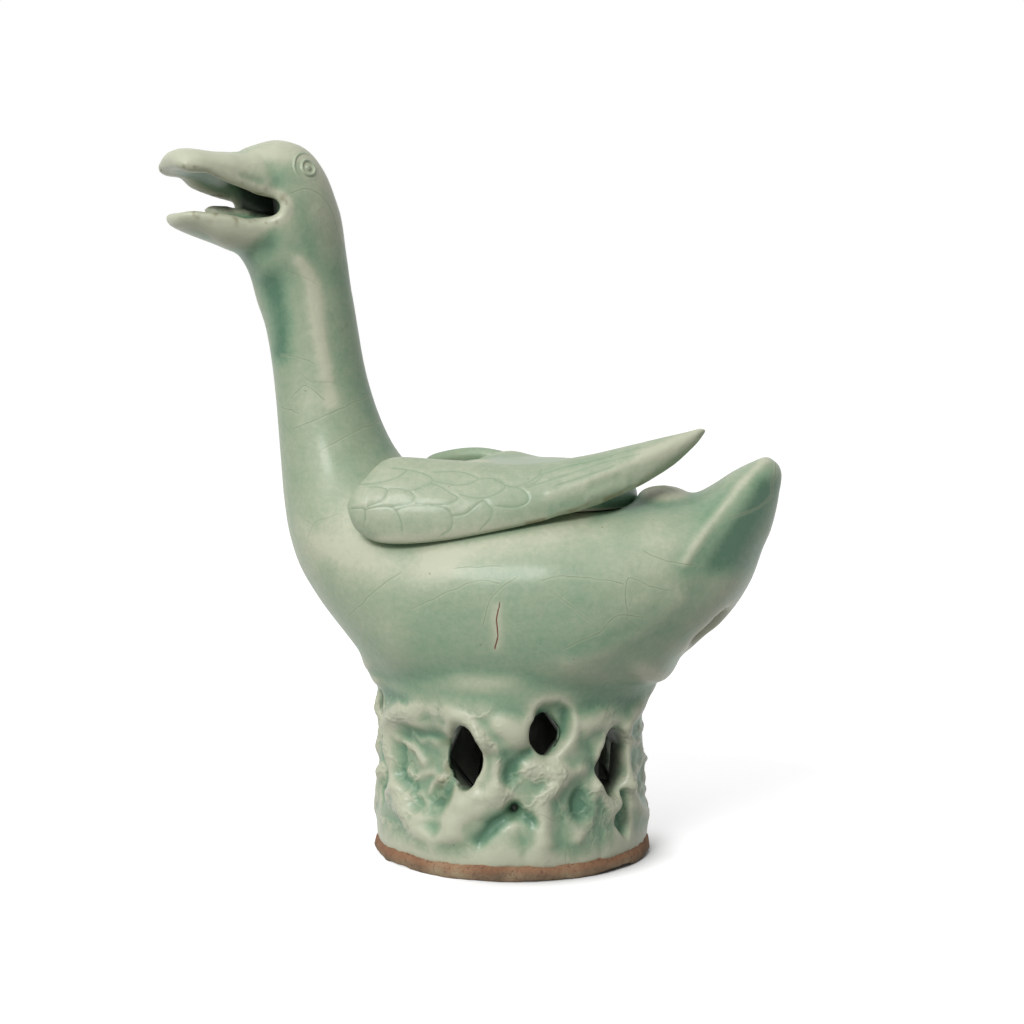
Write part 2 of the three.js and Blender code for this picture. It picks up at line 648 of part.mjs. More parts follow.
function wingRing(t, grow, sideSign, count) {
  const rowAt = sideSign > 0 ? rightRow : wingRow;
  const row = rowAt(t);
  const lift = new THREE.Vector3(0, 0, seatHeight);
  const low = new THREE.Vector3(...row.slice(0, 3)).add(lift);
  const high = new THREE.Vector3(...row.slice(3, 6)).add(lift);
  const half = high.clone().sub(low).divideScalar(2);
  const middle = low.clone().add(high).divideScalar(2);
  const next = rowAt(Math.min(t + 0.05, wingStations.length - 1));
  const last = rowAt(Math.max(t - 0.05, 0));
  const along = new THREE.Vector3(...[0, 1, 2].map((k) => next[k] + next[k + 3] - last[k] - last[k + 3]));
  const out = new THREE.Vector3().crossVectors(half, along).normalize();
  if (out.y > 0) out.negate();
  const slender = Math.min(1, half.length() / 10);
  const camber = wingCamber * slender;
  half.setLength(half.length() + grow);
  return ringOf(count, (angle) => {
    const [up, side] = superellipse(angle, 2.3);
    const point = middle.clone().addScaledVector(half, up)
      .addScaledVector(out, (row[6] / 2 + grow) * side + camber * (1 - up * up) - camber / 2);
    point.y *= -sideSign;
    return point;
  });
}

function wingLoft(sideSign, grow = 0, count = 18, steps = 16) {
  const last = wingStations.length - 1;
  return loft(Array.from({ length: steps + 1 }, (_, i) =>
    wingRing((last * i) / steps, grow, sideSign, count)));
}

function makeCoverBack() {
  const length = mouthLength + landWidth - lidClearance;
  const width = mouthWidth + landWidth + lidReach;
  const base = seatHeight + seam;
  const dome = solid(ovalLoft([
    [base, length - 1, width - 1],
    [base + lidRise * 0.2, length, width],
    [base + lidRise * 0.5, length * 0.96, width * 0.97],
    [base + lidRise * 0.78, length * 0.87, width * 0.9],
    [base + lidRise * 0.94, length * 0.7, width * 0.74],
    [base + lidRise, length * 0.42, width * 0.46],
  ]));
  const innerLength = mouthLength - lidClearance - flangeWall;
  const innerWidth = mouthWidth - lidClearance - flangeWall;
  const hollow = solid(ovalLoft([
    [base - 1, innerLength, innerWidth],
    [base + lidRise * 0.3, innerLength * 0.96, innerWidth * 0.96],
    [base + (lidRise - lidWall) * 0.85, innerLength * 0.7, innerWidth * 0.7],
    [base + lidRise - lidWall, innerLength * 0.3, innerWidth * 0.3],
  ], 32));
  return dome.subtract(hollow).subtract(solid(wingLoft(-1, seam))).subtract(solid(wingLoft(1, seam)));
}

function makeCoverFlange() {
  const top = seatHeight;
  const outer = solid(ovalLoft([top - flangeDepth, top].map((z) =>
    [z, mouthLength - lidClearance, mouthWidth - lidClearance])));
  const inner = solid(ovalLoft([top - flangeDepth - 1, top + 1].map((z) =>
    [z, mouthLength - lidClearance - flangeWall, mouthWidth - lidClearance - flangeWall]), 32));
  return outer.subtract(inner);
}

const head = new THREE.Group();
head.position.set(neckAxis, 0, 0);
head.rotation.z = THREE.MathUtils.degToRad(headTurn);
head.add(
  mesh('head', makeHead(), glaze),
  mesh('upper_bill', makeUpperBill(), paleGlaze),
  mesh('lower_bill', makeLowerBill(), paleGlaze),
  mesh('tongue', makeTongue(), deepGlaze),
  mesh('left_eye_ring', makeEyeRing(-1), paleGlaze),
  mesh('right_eye_ring', makeEyeRing(1), paleGlaze),
  mesh('left_pupil', makePupil(-1), deepGlaze),
  mesh('right_pupil', makePupil(1), deepGlaze),
);

const cover = new THREE.Group();
cover.add(
  mesh('cover_back', makeCoverBack(), glaze),
  mesh('cover_flange', makeCoverFlange(), bareClay),
  mesh('left_wing', wingLoft(-1), paleGlaze),
  mesh('right_wing', wingLoft(1), paleGlaze),
);

const bird = new THREE.Group();
bird.add(
  mesh('rock_pedestal', makeRockPedestal(), deepGlaze),
  mesh('foot_ring', makeFootRing(), bareClay),
  mesh('rump', bodyLength(tailEnds, rumpEnds), glaze),
  mesh('belly_left', mouldHalf(bodyLength(rumpEnds, bellyEnds), -1), glaze),
  mesh('belly_right', mouldHalf(bodyLength(rumpEnds, bellyEnds), 1), glaze),
  mesh('breast', bodyLength(bellyEnds, bodyEnds), glaze),
  mesh('tail', makeTail(), paleGlaze),
  mesh('rear_lug', makeRearLug(), paleGlaze),
  mesh('neck', makeNeck(), glaze),
  head,
  cover,
);

// Stands on z = 0 with the middle of its whole length and width over the origin
const middle = new THREE.Box3().setFromObject(bird, true).getCenter(new THREE.Vector3());
bird.position.set(-middle.x, -middle.y, 0);
const duckCenser = new THREE.Group();
duckCenser.add(bird);

export default duckCenser;
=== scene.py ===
# %% [markdown]
# # A duck-shaped incense burner with a green glaze
# The real object is stoneware. A hollow bird stands on a pierced rock pedestal, incense burns in
# its body, and the smoke leaves by the open beak. The back with both wings is a loose lid.
# This lesson builds the fired skin over the plain solids of the frame, piece by piece.

# %% Load the frame and keep its box
import math

import bpy
import numpy as np
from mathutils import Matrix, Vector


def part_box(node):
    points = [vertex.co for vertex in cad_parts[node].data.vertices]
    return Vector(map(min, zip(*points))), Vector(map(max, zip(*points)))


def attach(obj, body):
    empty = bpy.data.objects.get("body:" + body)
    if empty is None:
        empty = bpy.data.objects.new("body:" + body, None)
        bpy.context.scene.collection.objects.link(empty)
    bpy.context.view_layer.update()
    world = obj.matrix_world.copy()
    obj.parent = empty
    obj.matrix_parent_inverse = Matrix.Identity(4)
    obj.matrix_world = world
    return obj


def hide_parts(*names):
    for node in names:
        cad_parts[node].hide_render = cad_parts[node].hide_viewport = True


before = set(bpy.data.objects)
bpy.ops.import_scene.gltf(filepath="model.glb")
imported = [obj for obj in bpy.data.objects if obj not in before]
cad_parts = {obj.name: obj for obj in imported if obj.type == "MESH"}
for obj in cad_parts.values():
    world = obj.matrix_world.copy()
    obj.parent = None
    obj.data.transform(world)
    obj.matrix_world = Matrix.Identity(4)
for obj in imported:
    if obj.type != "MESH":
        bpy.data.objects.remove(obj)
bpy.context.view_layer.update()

# %% [markdown]
# All sizes below are in millimetres, measured from the pedestal's own axis, because that is how a
# potter would measure the piece. The last step of each mesh turns them into metres and moves
# them over by the pedestal's place in the frame.

# %% The pedestal's axis in the frame
foot_low, foot_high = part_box("foot_ring")
AXIS_X = (foot_low[0] + foot_high[0]) / 2
MM = 0.001


def to_metres(points):
    """Row frame = millimetres / 1000, moved along X by the pedestal's axis."""
    return np.asarray(points, float) * MM + np.array([AXIS_X, 0.0, 0.0])


print("pedestal axis at x =", round(AXIS_X * 1000, 2), "mm")

# %% [markdown]
# The photograph was taken from a little above the bird's back, about 60 cm away, slightly from
# the tail's side. The beak is seen from below and the foot from above, and that fixes the
# camera's height. The camera comes first, so that every later step can be judged through it.

# %% Camera
VIEW_TURN = math.radians(12)
VIEW_PITCH = math.radians(5.62)
VIEW_DISTANCE = 600
VIEW_HEIGHT = 160
FOCAL_PIXELS = 2032
IMAGE_PIXELS = 1024
SENSOR = 36

camera_data = bpy.data.cameras.new("camera")
camera_data.sensor_width = SENSOR
camera_data.lens = FOCAL_PIXELS / IMAGE_PIXELS * SENSOR
camera = bpy.data.objects.new("camera", camera_data)
camera.location = to_metres([
    VIEW_DISTANCE * math.sin(VIEW_TURN),
    -VIEW_DISTANCE * math.cos(VIEW_TURN),
    VIEW_HEIGHT,
])
camera.rotation_euler = (math.pi / 2 - VIEW_PITCH, 0, VIEW_TURN)
bpy.context.scene.collection.objects.link(camera)
bpy.context.scene.camera = camera
print("lens", round(camera_data.lens, 1), "mm")

# %% [markdown]
# A smooth curve through a few measured stations is the heart of a loft. Blender's own curves could
# carry the rings, but a plain formula on arrays gives every point at once and is easy to reuse for
# the neck, the bills and the wings.


# %% Curves through stations
def flow(rows, t):
    """Uniform Catmull-Rom curve through rows of numbers, at the row numbers t (an array):
    each span is the cubic through its two rows whose slopes are half the step between their
    neighbours."""
    rows = np.asarray(rows, float)
    last = len(rows) - 1
    t = np.clip(np.asarray(t, float), 0, last)
    low = np.minimum(t.astype(int), last - 1)
    w = (t - low)[..., None]
    p0 = rows[np.maximum(low - 1, 0)]
    p1 = rows[low]
    p2 = rows[low + 1]
    p3 = rows[np.minimum(low + 2, last)]
    v0 = (p2 - p0) / 2
    v1 = (p3 - p1) / 2
    return (2 * (p1 - p2) + v0 + v1) * w**3 + (3 * (p2 - p1) - 2 * v0 - v1) * w**2 + v0 * w + p1


def superellipse(angle, square):
    """Point at an angle on |u|^square + |v|^square = 1: each of cosine and sine is raised to
    2 / square, keeping its sign."""
    c, s = np.cos(angle), np.sin(angle)
    return np.sign(c) * np.abs(c) ** (2 / square), np.sign(s) * np.abs(s) ** (2 / square)


def smoothstep(low, high, value):
    """0 below low, 1 above high, and 3w^2 - 2w^3 between, with w the share of the way."""
    w = np.clip((value - low) / (high - low), 0, 1)
    return w * w * (3 - 2 * w)


def bell(value, middle, half_width, power=2):
    """e^-((value - middle) / half-width)^power: 1 at the middle, e^-1 at the half-width."""
    return np.exp(-(((value - middle) / half_width) ** power))


# %% [markdown]
# Brush strokes of glaze, incised feathers and cracks are all lines drawn on a surface. One helper
# gives the distance of every point from a smooth line through a few measured places.


# %% Distance from a line
def line_distance(across, up, places):
    """Distance from each point to the nearest stretch of the line, and the same square to that
    stretch, with a sign: plus on the line's left."""
    steps = 3 * (len(places) - 1) + 1
    path = flow(places, np.linspace(0, len(places) - 1, steps))
    nearest = np.full(np.shape(across), np.inf)
    side = np.zeros(np.shape(across))
    for (x0, y0), (x1, y1) in zip(path[:-1], path[1:]):
        run_x, run_y = x1 - x0, y1 - y0
        length = math.hypot(run_x, run_y)
        x, y = across - x0, up - y0
        share = np.clip((x * run_x + y * run_y) / length**2, 0, 1)
        away = np.hypot(x - share * run_x, y - share * run_y)
        closer = away < nearest
        nearest = np.where(closer, away, nearest)
        side = np.where(closer, (run_x * y - run_y * x) / length, side)
    return nearest, side


def nearest_of(across, up, lines):
    """Distance to the nearest of several lines, and that line's signed distance."""
    nearest, side = np.full(across.shape, np.inf), np.zeros(across.shape)
    for places in lines:
        away, signed = line_distance(across, up, places)
        side = np.where(away < nearest, signed, side)
        nearest = np.minimum(nearest, away)
    return nearest, side


def painted(across, up, strokes):
    """Sum over strokes of amount * bell of the distance."""
    total = np.zeros(np.shape(across))
    for amount, half_width, places in strokes:
        nearest, _ = line_distance(across, up, places)
        total += amount * bell(nearest, 0, half_width)
    return total


# %% [markdown]
# Clay has no perfectly even surface. Value noise gives the dents and swellings of fingers:
# random numbers sit on a lattice, and every point takes a smooth average of the eight around it.
# The numbers come from a seeded generator, so each run gives the same bird.

# %% Value noise
LATTICE = np.random.default_rng(7).random((32, 32, 32))


def noise(points, size):
    """Value noise from -1 to 1 with cells of the given size in millimetres: a trilinear mix of
    lattice values, with smoothstep weights."""
    p = np.asarray(points, float) / size + 100.0
    cell = np.floor(p).astype(int)
    w = p - cell
    w = w * w * (3 - 2 * w)
    total = np.zeros(p.shape[:-1])
    for corner in np.ndindex(2, 2, 2):
        i, j, k = np.moveaxis((cell + corner) % 32, -1, 0)
        share = np.prod(np.where(corner, w, 1 - w), -1)
        total += LATTICE[i, j, k] * share
    return 2 * total - 1


# %% [markdown]
# A grid of points becomes a closed skin: four neighbours make a face, the last column joins the
# first, and each open end is closed by a fan on its middle. Voxel remeshing and boolean cuts need
# such closed skins.


# %% Meshes from grids
def add_piece(name, points, faces):
    """Makes a Blender object from points in millimetres and faces, turned to face outwards."""
    if signed_volume(points, faces) < 0:
        faces = [face[::-1] for face in faces]
    mesh = bpy.data.meshes.new(name)
    mesh.from_pydata(to_metres(points), [], faces)
    mesh.validate()
    piece = bpy.data.objects.new(name, mesh)
    bpy.context.scene.collection.objects.link(piece)
    return piece


def signed_volume(points, faces):
    """Sum over triangles of a . (b x c) / 6, positive when the faces point outwards."""
    total = 0.0
    for face in (np.asarray([f for f in faces if len(f) == n]) for n in (3, 4)):
        if len(face) == 0:
            continue
        a = points[face[:, 0]]
        for k in range(1, face.shape[1] - 1):
            b_cross_c = np.cross(points[face[:, k]], points[face[:, k + 1]])
            total += np.einsum("ij,ij->i", a, b_cross_c).sum()
    return total / 6


def skin_faces(rings, around):
    """Quads of a grid of rings, wrapping round each ring."""
    r, k = np.meshgrid(np.arange(rings - 1), np.arange(around), indexing="ij")
    a = r * around + k
    b = r * around + (k + 1) % around
    return np.stack([a, b, b + around, a + around], -1).reshape(-1, 4)


def loft(name, grid):
    """Closed skin over a grid [ring, place on the ring, xyz], with a fan at each end."""
    rings, around = grid.shape[:2]
    points = np.vstack([grid.reshape(-1, 3), grid[0].mean(0), grid[-1].mean(0)])
    faces = skin_faces(rings, around).tolist()
    k = np.arange(around)
    n = (k + 1) % around
    base = (rings - 1) * around
    faces += np.stack([n, k, np.full(around, rings * around)], -1).tolist()
    faces += np.stack([base + k, base + n, np.full(around, rings * around + 1)], -1).tolist()
    return add_piece(name, points, faces)


def ring_angles(count):
    """Angles of places spread evenly round a ring: 2 pi * place / count."""
    return np.arange(count) * 2 * np.pi / count


# %% [markdown]
# ## The bird's skin
# The belly line, the back line and the width at 26 stations say where each ring of the bird runs,
# from the tail's tip through the body and up the neck. A ring joins one point below to one
# point above and is as wide as the bird there.

# %% Stations of the bird
# under x, under z, back x, back z, half-width, squareness
BIRD = [
    (78.0, 116.8, 74.4, 118.4, 3.2, 2.0),
    (79.2, 113.4, 70.4, 117.0, 8.0, 1.8),
    (78.9, 108.6, 65.0, 114.2, 12.5, 1.7),
    (77.6, 102.6, 59.2, 110.4, 17.0, 1.65),
    (75.4, 95.2, 53.5, 107.6, 21.5, 1.7),
    (71.8, 86.0, 48.5, 107.4, 26.5, 1.8),
    (66.2, 75.6, 42.5, 107.2, 31.5, 2.0),
    (56.4, 65.6, 35.0, 107.0, 36.0, 2.1),
    (43.6, 56.0, 26.0, 107.0, 39.5, 2.2),
    (29.0, 47.4, 16.0, 107.0, 42.0, 2.4),
    (8.0, 43.2, 7.0, 107.0, 43.0, 2.4),
    (-14.0, 43.6, -1.0, 107.0, 42.8, 2.4),
    (-31.0, 48.6, -8.0, 107.0, 41.6, 2.3),
    (-41.0, 56.0, -14.0, 107.0, 39.4, 2.15),
    (-49.4, 65.0, -19.5, 107.5, 36.6, 2.05),
    (-57.4, 74.4, -24.0, 108.6, 33.2, 2.0),
    (-63.6, 83.6, -28.0, 110.6, 29.4, 2.0),
    (-67.2, 93.0, -31.5, 113.2, 25.8, 2.0),
    (-69.0, 102.0, -34.8, 116.8, 22.2, 2.0),
    (-70.2, 111.5, -37.8, 121.6, 19.0, 2.0),
    (-71.3, 121.5, -41.0, 129.0, 16.6, 2.0),
    (-72.2, 131.5, -44.0, 138.0, 15.0, 2.0),
    (-73.0, 141.0, -46.2, 147.0, 14.0, 2.0),
    (-74.2, 151.0, -47.8, 156.0, 13.8, 2.0),
    (-76.2, 160.2, -49.2, 163.8, 14.0, 2.0),
    (-79.0, 168.0, -50.2, 168.0, 14.2, 2.0),
]
WALL = 5
CAVITY_STARTS = 6.4
NECK_TOP = 168.0
NECK_AXIS = (BIRD[-1][0] + BIRD[-1][2]) / 2
NECK_RADIUS = 14.3


def bird_rings(t, grow, count):
    """Ring t: middle + rise * cos + width * sin on a superellipse, where rise points from the
    under point to the back point, and grow is added to both half-axes."""
    ux, uz, bx, bz, width, square = (column[:, None] for column in flow(BIRD, t).T)
    up, side = superellipse(ring_angles(count)[None, :], square)
    half = np.hypot(bx - ux, bz - uz) / 2
    stretch = (half + grow) / half / 2
    return np.stack([
        (ux + bx) / 2 + (bx - ux) * stretch * up,
        (width + grow) * side,
        (uz + bz) / 2 + (bz - uz) * stretch * up,
    ], -1)


bird = loft("bird_clay", bird_rings(np.linspace(0, len(BIRD) - 1, 170), 0, 110))
print("bird:", len(bird.data.vertices), "points")

# %% [markdown]
# ## Head and beak
# The head looks over the bird's left shoulder, so it is shaped in its own frame and turned on the
# neck's axis. Its rings lie flat, like the slices of a turned pot. The two bills are lofts too,
# run from the throat to the tip. The upper one sagged a little to one side in the kiln.

# %% Stations of the head and bills
HEAD_TURN = math.radians(38)
# z, front, back, half-width
HEAD = [
    (168.3, -14.4, 14.4, 14.2),
    (172.0, -15.7, 14.2, 14.3),
    (176.0, -17.8, 13.6, 14.5),
    (180.0, -19.6, 13.1, 14.6),
    (185.0, -20.4, 12.4, 14.8),
    (190.0, -20.4, 11.5, 14.7),
    (195.0, -20.4, 10.2, 14.2),
    (199.5, -20.2, 8.6, 13.3),
    (203.0, -19.6, 6.8, 12.0),
    (206.0, -18.0, 4.4, 10.2),
    (208.5, -15.0, 1.2, 7.8),
    (210.0, -12.2, -2.2, 5.2),
    (210.9, -9.4, -5.4, 2.2),
]
HEAD_SQUARE = 2.1
# x, top, underside, half-width
UPPER_BILL = [
    (-12.0, 208.2, 191.6, 12.6),
    (-16.0, 207.8, 193.2, 13.0),
    (-20.0, 206.7, 194.6, 13.0),
    (-24.5, 206.5, 196.0, 13.1),
    (-29.0, 207.6, 197.8, 13.6),
    (-33.0, 208.3, 199.0, 13.9),
    (-37.0, 208.5, 199.4, 13.4),
    (-39.6, 208.1, 199.5, 11.8),
    (-41.2, 206.9, 199.9, 9.2),
    (-41.9, 205.2, 201.0, 5.8),
]
LOWER_BILL = [
    (-10.0, 185.8, 176.0, 12.2),
    (-15.0, 186.4, 176.8, 12.6),
    (-20.0, 187.2, 178.2, 12.6),
    (-25.0, 188.3, 179.4, 12.2),
    (-30.0, 189.3, 181.0, 11.6),
    (-34.5, 189.7, 182.6, 10.6),
    (-38.0, 189.4, 184.0, 8.8),
    (-39.8, 188.9, 184.9, 6.6),
    (-40.6, 188.1, 185.9, 3.8),
]
BILL_SQUARE = 2.2
BILL_DOME = 0.35
BILL_ROLL = math.radians(5.5)
BILL_RIM = 3.2
PALATE_DEPTH = 2.6
GAPE_CORNER = (-13.2, 190.6)
GAPE_RADIUS = 3.0
GAPE_TIP = -36
GAPE_SKEW = 8.8


def turn_head(points):
    """Head frame to bird frame: turn by the head's angle about Z, then move on to the neck."""
    x, y, z = np.moveaxis(np.asarray(points, float), -1, 0)
    c, s = math.cos(HEAD_TURN), math.sin(HEAD_TURN)
    return np.stack([NECK_AXIS + c * x - s * y, s * x + c * y, z], -1)


def head_rings(rows, t, count):
    """Flat ring t: an oval from front to back, as wide as the head there."""
    z, front, back, width = (column[:, None] for column in flow(rows, t).T)
    along, side = superellipse(ring_angles(count)[None, :], HEAD_SQUARE)
    return np.stack([
        (front + back) / 2 + (back - front) / 2 * along,
        width * side,
        z + 0 * along,
    ], -1)


def bill_rings(rows, t, dome, count):
    """Upright ring t: u = cos, v = sin on a superellipse, and z bends by dome * (1 - u^2), which
    makes the ring flat on the mouth side and round outside."""
    x, top, under, width = (column[:, None] for column in flow(rows, t).T)
    up, side = superellipse(ring_angles(count)[None, :], BILL_SQUARE)
    half = (top - under) / 2
    return np.stack([
        x + 0 * up,
        width * side,
        (top + under) / 2 + half * (up + dome * (1 - up * up)),
    ], -1)


def roll_bill(points):
    """Turn about the beak's length, through the near rim of the upper bill, by the roll."""
    x, y, z = np.moveaxis(np.asarray(points, float), -1, 0)
    pivot_y, pivot_z = -UPPER_BILL[4][3], UPPER_BILL[4][2]
    c, s = math.cos(-BILL_ROLL), math.sin(-BILL_ROLL)
    y0, z0 = y - pivot_y, z - pivot_z
    return np.stack([x, pivot_y + c * y0 - s * z0, pivot_z + s * y0 + c * z0], -1)


into_neck = (160.0, -12.6, 12.6, 12.4)
head = loft("head_clay", turn_head(
    head_rings([into_neck] + HEAD, np.linspace(0, len(HEAD), 90), 90)))
upper_bill = loft("upper_bill_clay", turn_head(roll_bill(
    bill_rings(UPPER_BILL, np.linspace(0, len(UPPER_BILL) - 1, 60), -BILL_DOME, 64))))
lower_bill = loft("lower_bill_clay", turn_head(
    bill_rings(LOWER_BILL, np.linspace(0, len(LOWER_BILL) - 1, 56), BILL_DOME, 64)))
print("head, upper bill and lower bill modelled")

# %% [markdown]
# ## The rock pedestal
# The pedestal is a hollow drum of clay, bent into rockwork: holes pierce it, and a raised lip runs
# round each. The drum is a loft of ovals and the holes are cut with drills, each an outline carried
# through the wall. The lips and dents are pushed out of the finished skin later, where the mesh is
# fine enough to take them.

# %% Sizes of the rock
ROCK_LENGTH = 41.5
ROCK_WIDTH = 40.5
ROCK_WAIST = 2.2
ROCK_TOP = 58
ROCK_WALL = 8
FOOT_HEIGHT = 5.5
FOOT_WALL = 7.5
# Outlines as eight radii: towards the right, upper right, top, upper left, and so on round
ALMOND = (5.3, 6.0, 8.9, 5.6, 5.2, 6.2, 9.1, 6.0)
LEANING = (5.6, 7.0, 8.8, 6.0, 4.6, 6.0, 9.2, 7.2)
POUCH = (4.8, 4.4, 5.6, 4.8, 4.4, 4.8, 6.4, 5.2)
PEBBLE = (5.6, 6.6, 7.6, 6.4, 5.4, 6.0, 7.4, 6.4)
# Holes: degrees round from the tail, height, outline, scale, lip
ROCK_HOLES = [
    (260.2, 34.5, ALMOND, 1.06, 0.8),
    (296.2, 41.8, POUCH, 1.04, 0.0),
    (330, 31.5, LEANING, 1.1, 0.7),
    (12, 37.0, PEBBLE, 0.95, 0.2),
    (37, 25.2, LEANING, 0.95, 1.2),
    (80, 40.0, PEBBLE, 0.95, 1.1),
    (112, 28.0, ALMOND, 1.0, 1.2),
    (146, 38.0, PEBBLE, 1.0, 1.1),
    (182, 28.5, LEANING, 0.95, 1.2),
    (205, 45.0, PEBBLE, 0.6, 0.8),
]
PINHOLE = (283, 20)
# Hollows that only dent the wall: the same, with the depth in place of the lip
ROCK_HOLLOWS = [
    (238, 28.5, (16.5, 18.4, 15.0, 16.6, 13.8, 10.0, 13.0, 14.5), 1.0, 3.0),
    (299, 44.3, (7.0, 8.2, 8.8, 7.5, 6.2, 6.2, 9.2, 7.8), 1.0, 4.2),
    (337, 15.6, (3.4, 4.6, 7.8, 4.4, 5.4, 6.0, 7.4, 5.0), 1.0, 3.0),
    (313, 19.5, PEBBLE, 1.0, 2.1),
    (283, 20.0, PEBBLE, 0.62, 1.2),
    (15, 17.0, PEBBLE, 0.9, 2.6),
    (62, 44.0, ALMOND, 0.7, 2.4),
    (84, 17.0, LEANING, 0.9, 2.8),
    (140, 16.0, PEBBLE, 0.9, 2.6),
    (170, 45.0, PEBBLE, 0.8, 2.4),
    (208, 22.0, ALMOND, 0.8, 2.4),
]


def rock_rings(z, inwards, count):
    """Level ovals: (half-length - inwards) cos, (half-width - inwards) sin, drawn in at the
    waist by a half sine of the height."""
    z = np.asarray(z, float)[:, None]
    angle = ring_angles(count)[None, :]
    waist = ROCK_WAIST * np.sin(np.pi * np.clip(z / ROCK_TOP, 0, 1)) * (inwards == 0)
    return np.stack([
        (ROCK_LENGTH - inwards - waist) * np.cos(angle),
        (ROCK_WIDTH - inwards - waist) * np.sin(angle),
        z + 0 * angle,
    ], -1)


def outline_reach(outline, direction):
    """Radius of an outline in a direction: a cosine blend between its eight radii."""
    place = (direction % (2 * np.pi)) / (np.pi / 4)
    first = np.floor(place).astype(int) % 8
    share = (1 - np.cos((place % 1) * np.pi)) / 2
    radii = np.asarray(outline, float)
    return radii[first] * (1 - share) + radii[(first + 1) % 8] * share


def hole_drill(name, degrees, height, outline, scale, start=ROCK_LENGTH - ROCK_WALL * 2, count=48):
    """The outline carried along the wall's outward line, from its start to the open air, and
    widening by a seventh on the way out."""
    a = math.radians(degrees)
    direction = ring_angles(count)[None, :]
    reach = outline_reach(outline, direction) * scale
    depth = np.linspace(start, ROCK_LENGTH + 8, 8)[:, None]
    widen = 1 + 0.14 * smoothstep(ROCK_LENGTH - 5, ROCK_LENGTH + 3, depth)
    across, up = reach * widen * np.cos(direction), reach * widen * np.sin(direction)
    return loft(name, np.stack([
        depth * math.cos(a) - across * math.sin(a),
        depth * math.sin(a) + across * math.cos(a),
        height + up], -1))


def ellipsoid(name, at, half, count=40):
    """Latitude rings of a ball, stretched to three half-axes and moved."""
    lat = np.linspace(-np.pi / 2 + 0.04, np.pi / 2 - 0.04, count // 2)[:, None]
    lon = ring_angles(count)[None, :]
    return loft(name, np.stack([
        at[0] + half[0] * np.cos(lat) * np.cos(lon),
        at[1] + half[1] * np.cos(lat) * np.sin(lon),
        at[2] + half[2] * np.sin(lat) + 0 * lon], -1))


# %% [markdown]
# Cutting is done with Boolean modifiers on the Manifold solver, which is quick and exact on closed
# skins. One helper joins or cuts and keeps only the result, so no live modifier is left on a
# finished piece.


# %% Join and cut
def baked(piece):
    """Replaces the piece's mesh by the mesh that its modifiers give."""
    graph = bpy.context.evaluated_depsgraph_get()
    fresh = bpy.data.meshes.new_from_object(piece.evaluated_get(graph))
    piece.modifiers.clear()
    piece.data = fresh
    return piece


def combine(piece, tools, operation):
    """Joins or cuts a piece by each tool in turn, and removes the tools."""
    for tool in tools:
        step = piece.modifiers.new(tool.name, "BOOLEAN")
        step.operation = operation
        step.solver = "MANIFOLD"
        step.object = tool
    bpy.context.view_layer.update()
    baked(piece)
    for tool in tools:
        bpy.data.objects.remove(tool)
    return piece


drum = loft("rock_clay", rock_rings(np.linspace(FOOT_HEIGHT, ROCK_TOP, 60), 0, 160))
drum_tools = [loft("drum_hollow", rock_rings([FOOT_HEIGHT - 3, ROCK_TOP + 3], ROCK_WALL, 120))]
for index, (degrees, height, outline, scale, _) in enumerate(ROCK_HOLES):
    drum_tools.append(hole_drill(f"rock_hole_{index}", degrees, height, outline, scale))
drum_tools.append(hole_drill("rock_pinhole", *PINHOLE, PEBBLE, 0.17, ROCK_LENGTH - 5))
combine(drum, drum_tools, "DIFFERENCE")
print("pedestal pierced by", len(ROCK_HOLES), "holes")

# %% [markdown]
# The cavity of the body and the flue in the neck are one inner loft, a wall's thickness inside the
# skin. The lid's oval opening, the flat land round it, the mouth, the throat and the vent under the
# tail are cut by tools of their own.

# %% Tools that hollow the bird
SEAT_HEIGHT = 103.5
SEAT_MIDDLE = 6
MOUTH_LENGTH = 27
MOUTH_WIDTH = 21
LAND_WIDTH = 5
LAND_OPEN = 12
DRILL_LOW = SEAT_HEIGHT - 20
DRILL_TOP = SEAT_HEIGHT + 30
VENT_CENTRE = (60, -11, 70)
VENT_HALF = (6, 8)
VENT_PITCH = math.radians(38)
VENT_TURN = math.radians(14)


def oval_rings(levels, count=96):
    """Ovals on the lid's axis: rows of height, half-length and half-width."""
    z, length, width = (column[:, None] for column in np.asarray(levels, float).T)
    angle = ring_angles(count)[None, :]
    return np.stack([
        SEAT_MIDDLE + length * np.cos(angle), width * np.sin(angle), z + 0 * angle], -1)


def seat_tool(name, low, longer=0, wider=0):
    """An upright oval drill on the lid's axis: the mouth's oval, made longer and wider, from a
    height up to the open air."""
    oval = MOUTH_LENGTH + longer, MOUTH_WIDTH + wider
    return loft(name, oval_rings([(low, *oval), (DRILL_TOP, *oval)]))


def tube_rings(nodes, count, steps):
    """Round rings square to a smooth path, with the radius of each node."""
    t = np.linspace(0, len(nodes) - 1, steps)
    path = flow(nodes, t)
    along = np.gradient(path[:, :3], axis=0)
    along /= np.linalg.norm(along, axis=1, keepdims=True)
    side = np.array([0, 1.0, 0]) - along * along[:, 1:2]
    side /= np.linalg.norm(side, axis=1, keepdims=True)
    up = np.cross(along, side)
    angle = ring_angles(count)[None, :, None]
    return path[:, None, :3] + path[:, None, 3:] * (
        side[:, None] * np.cos(angle) + up[:, None] * np.sin(angle))


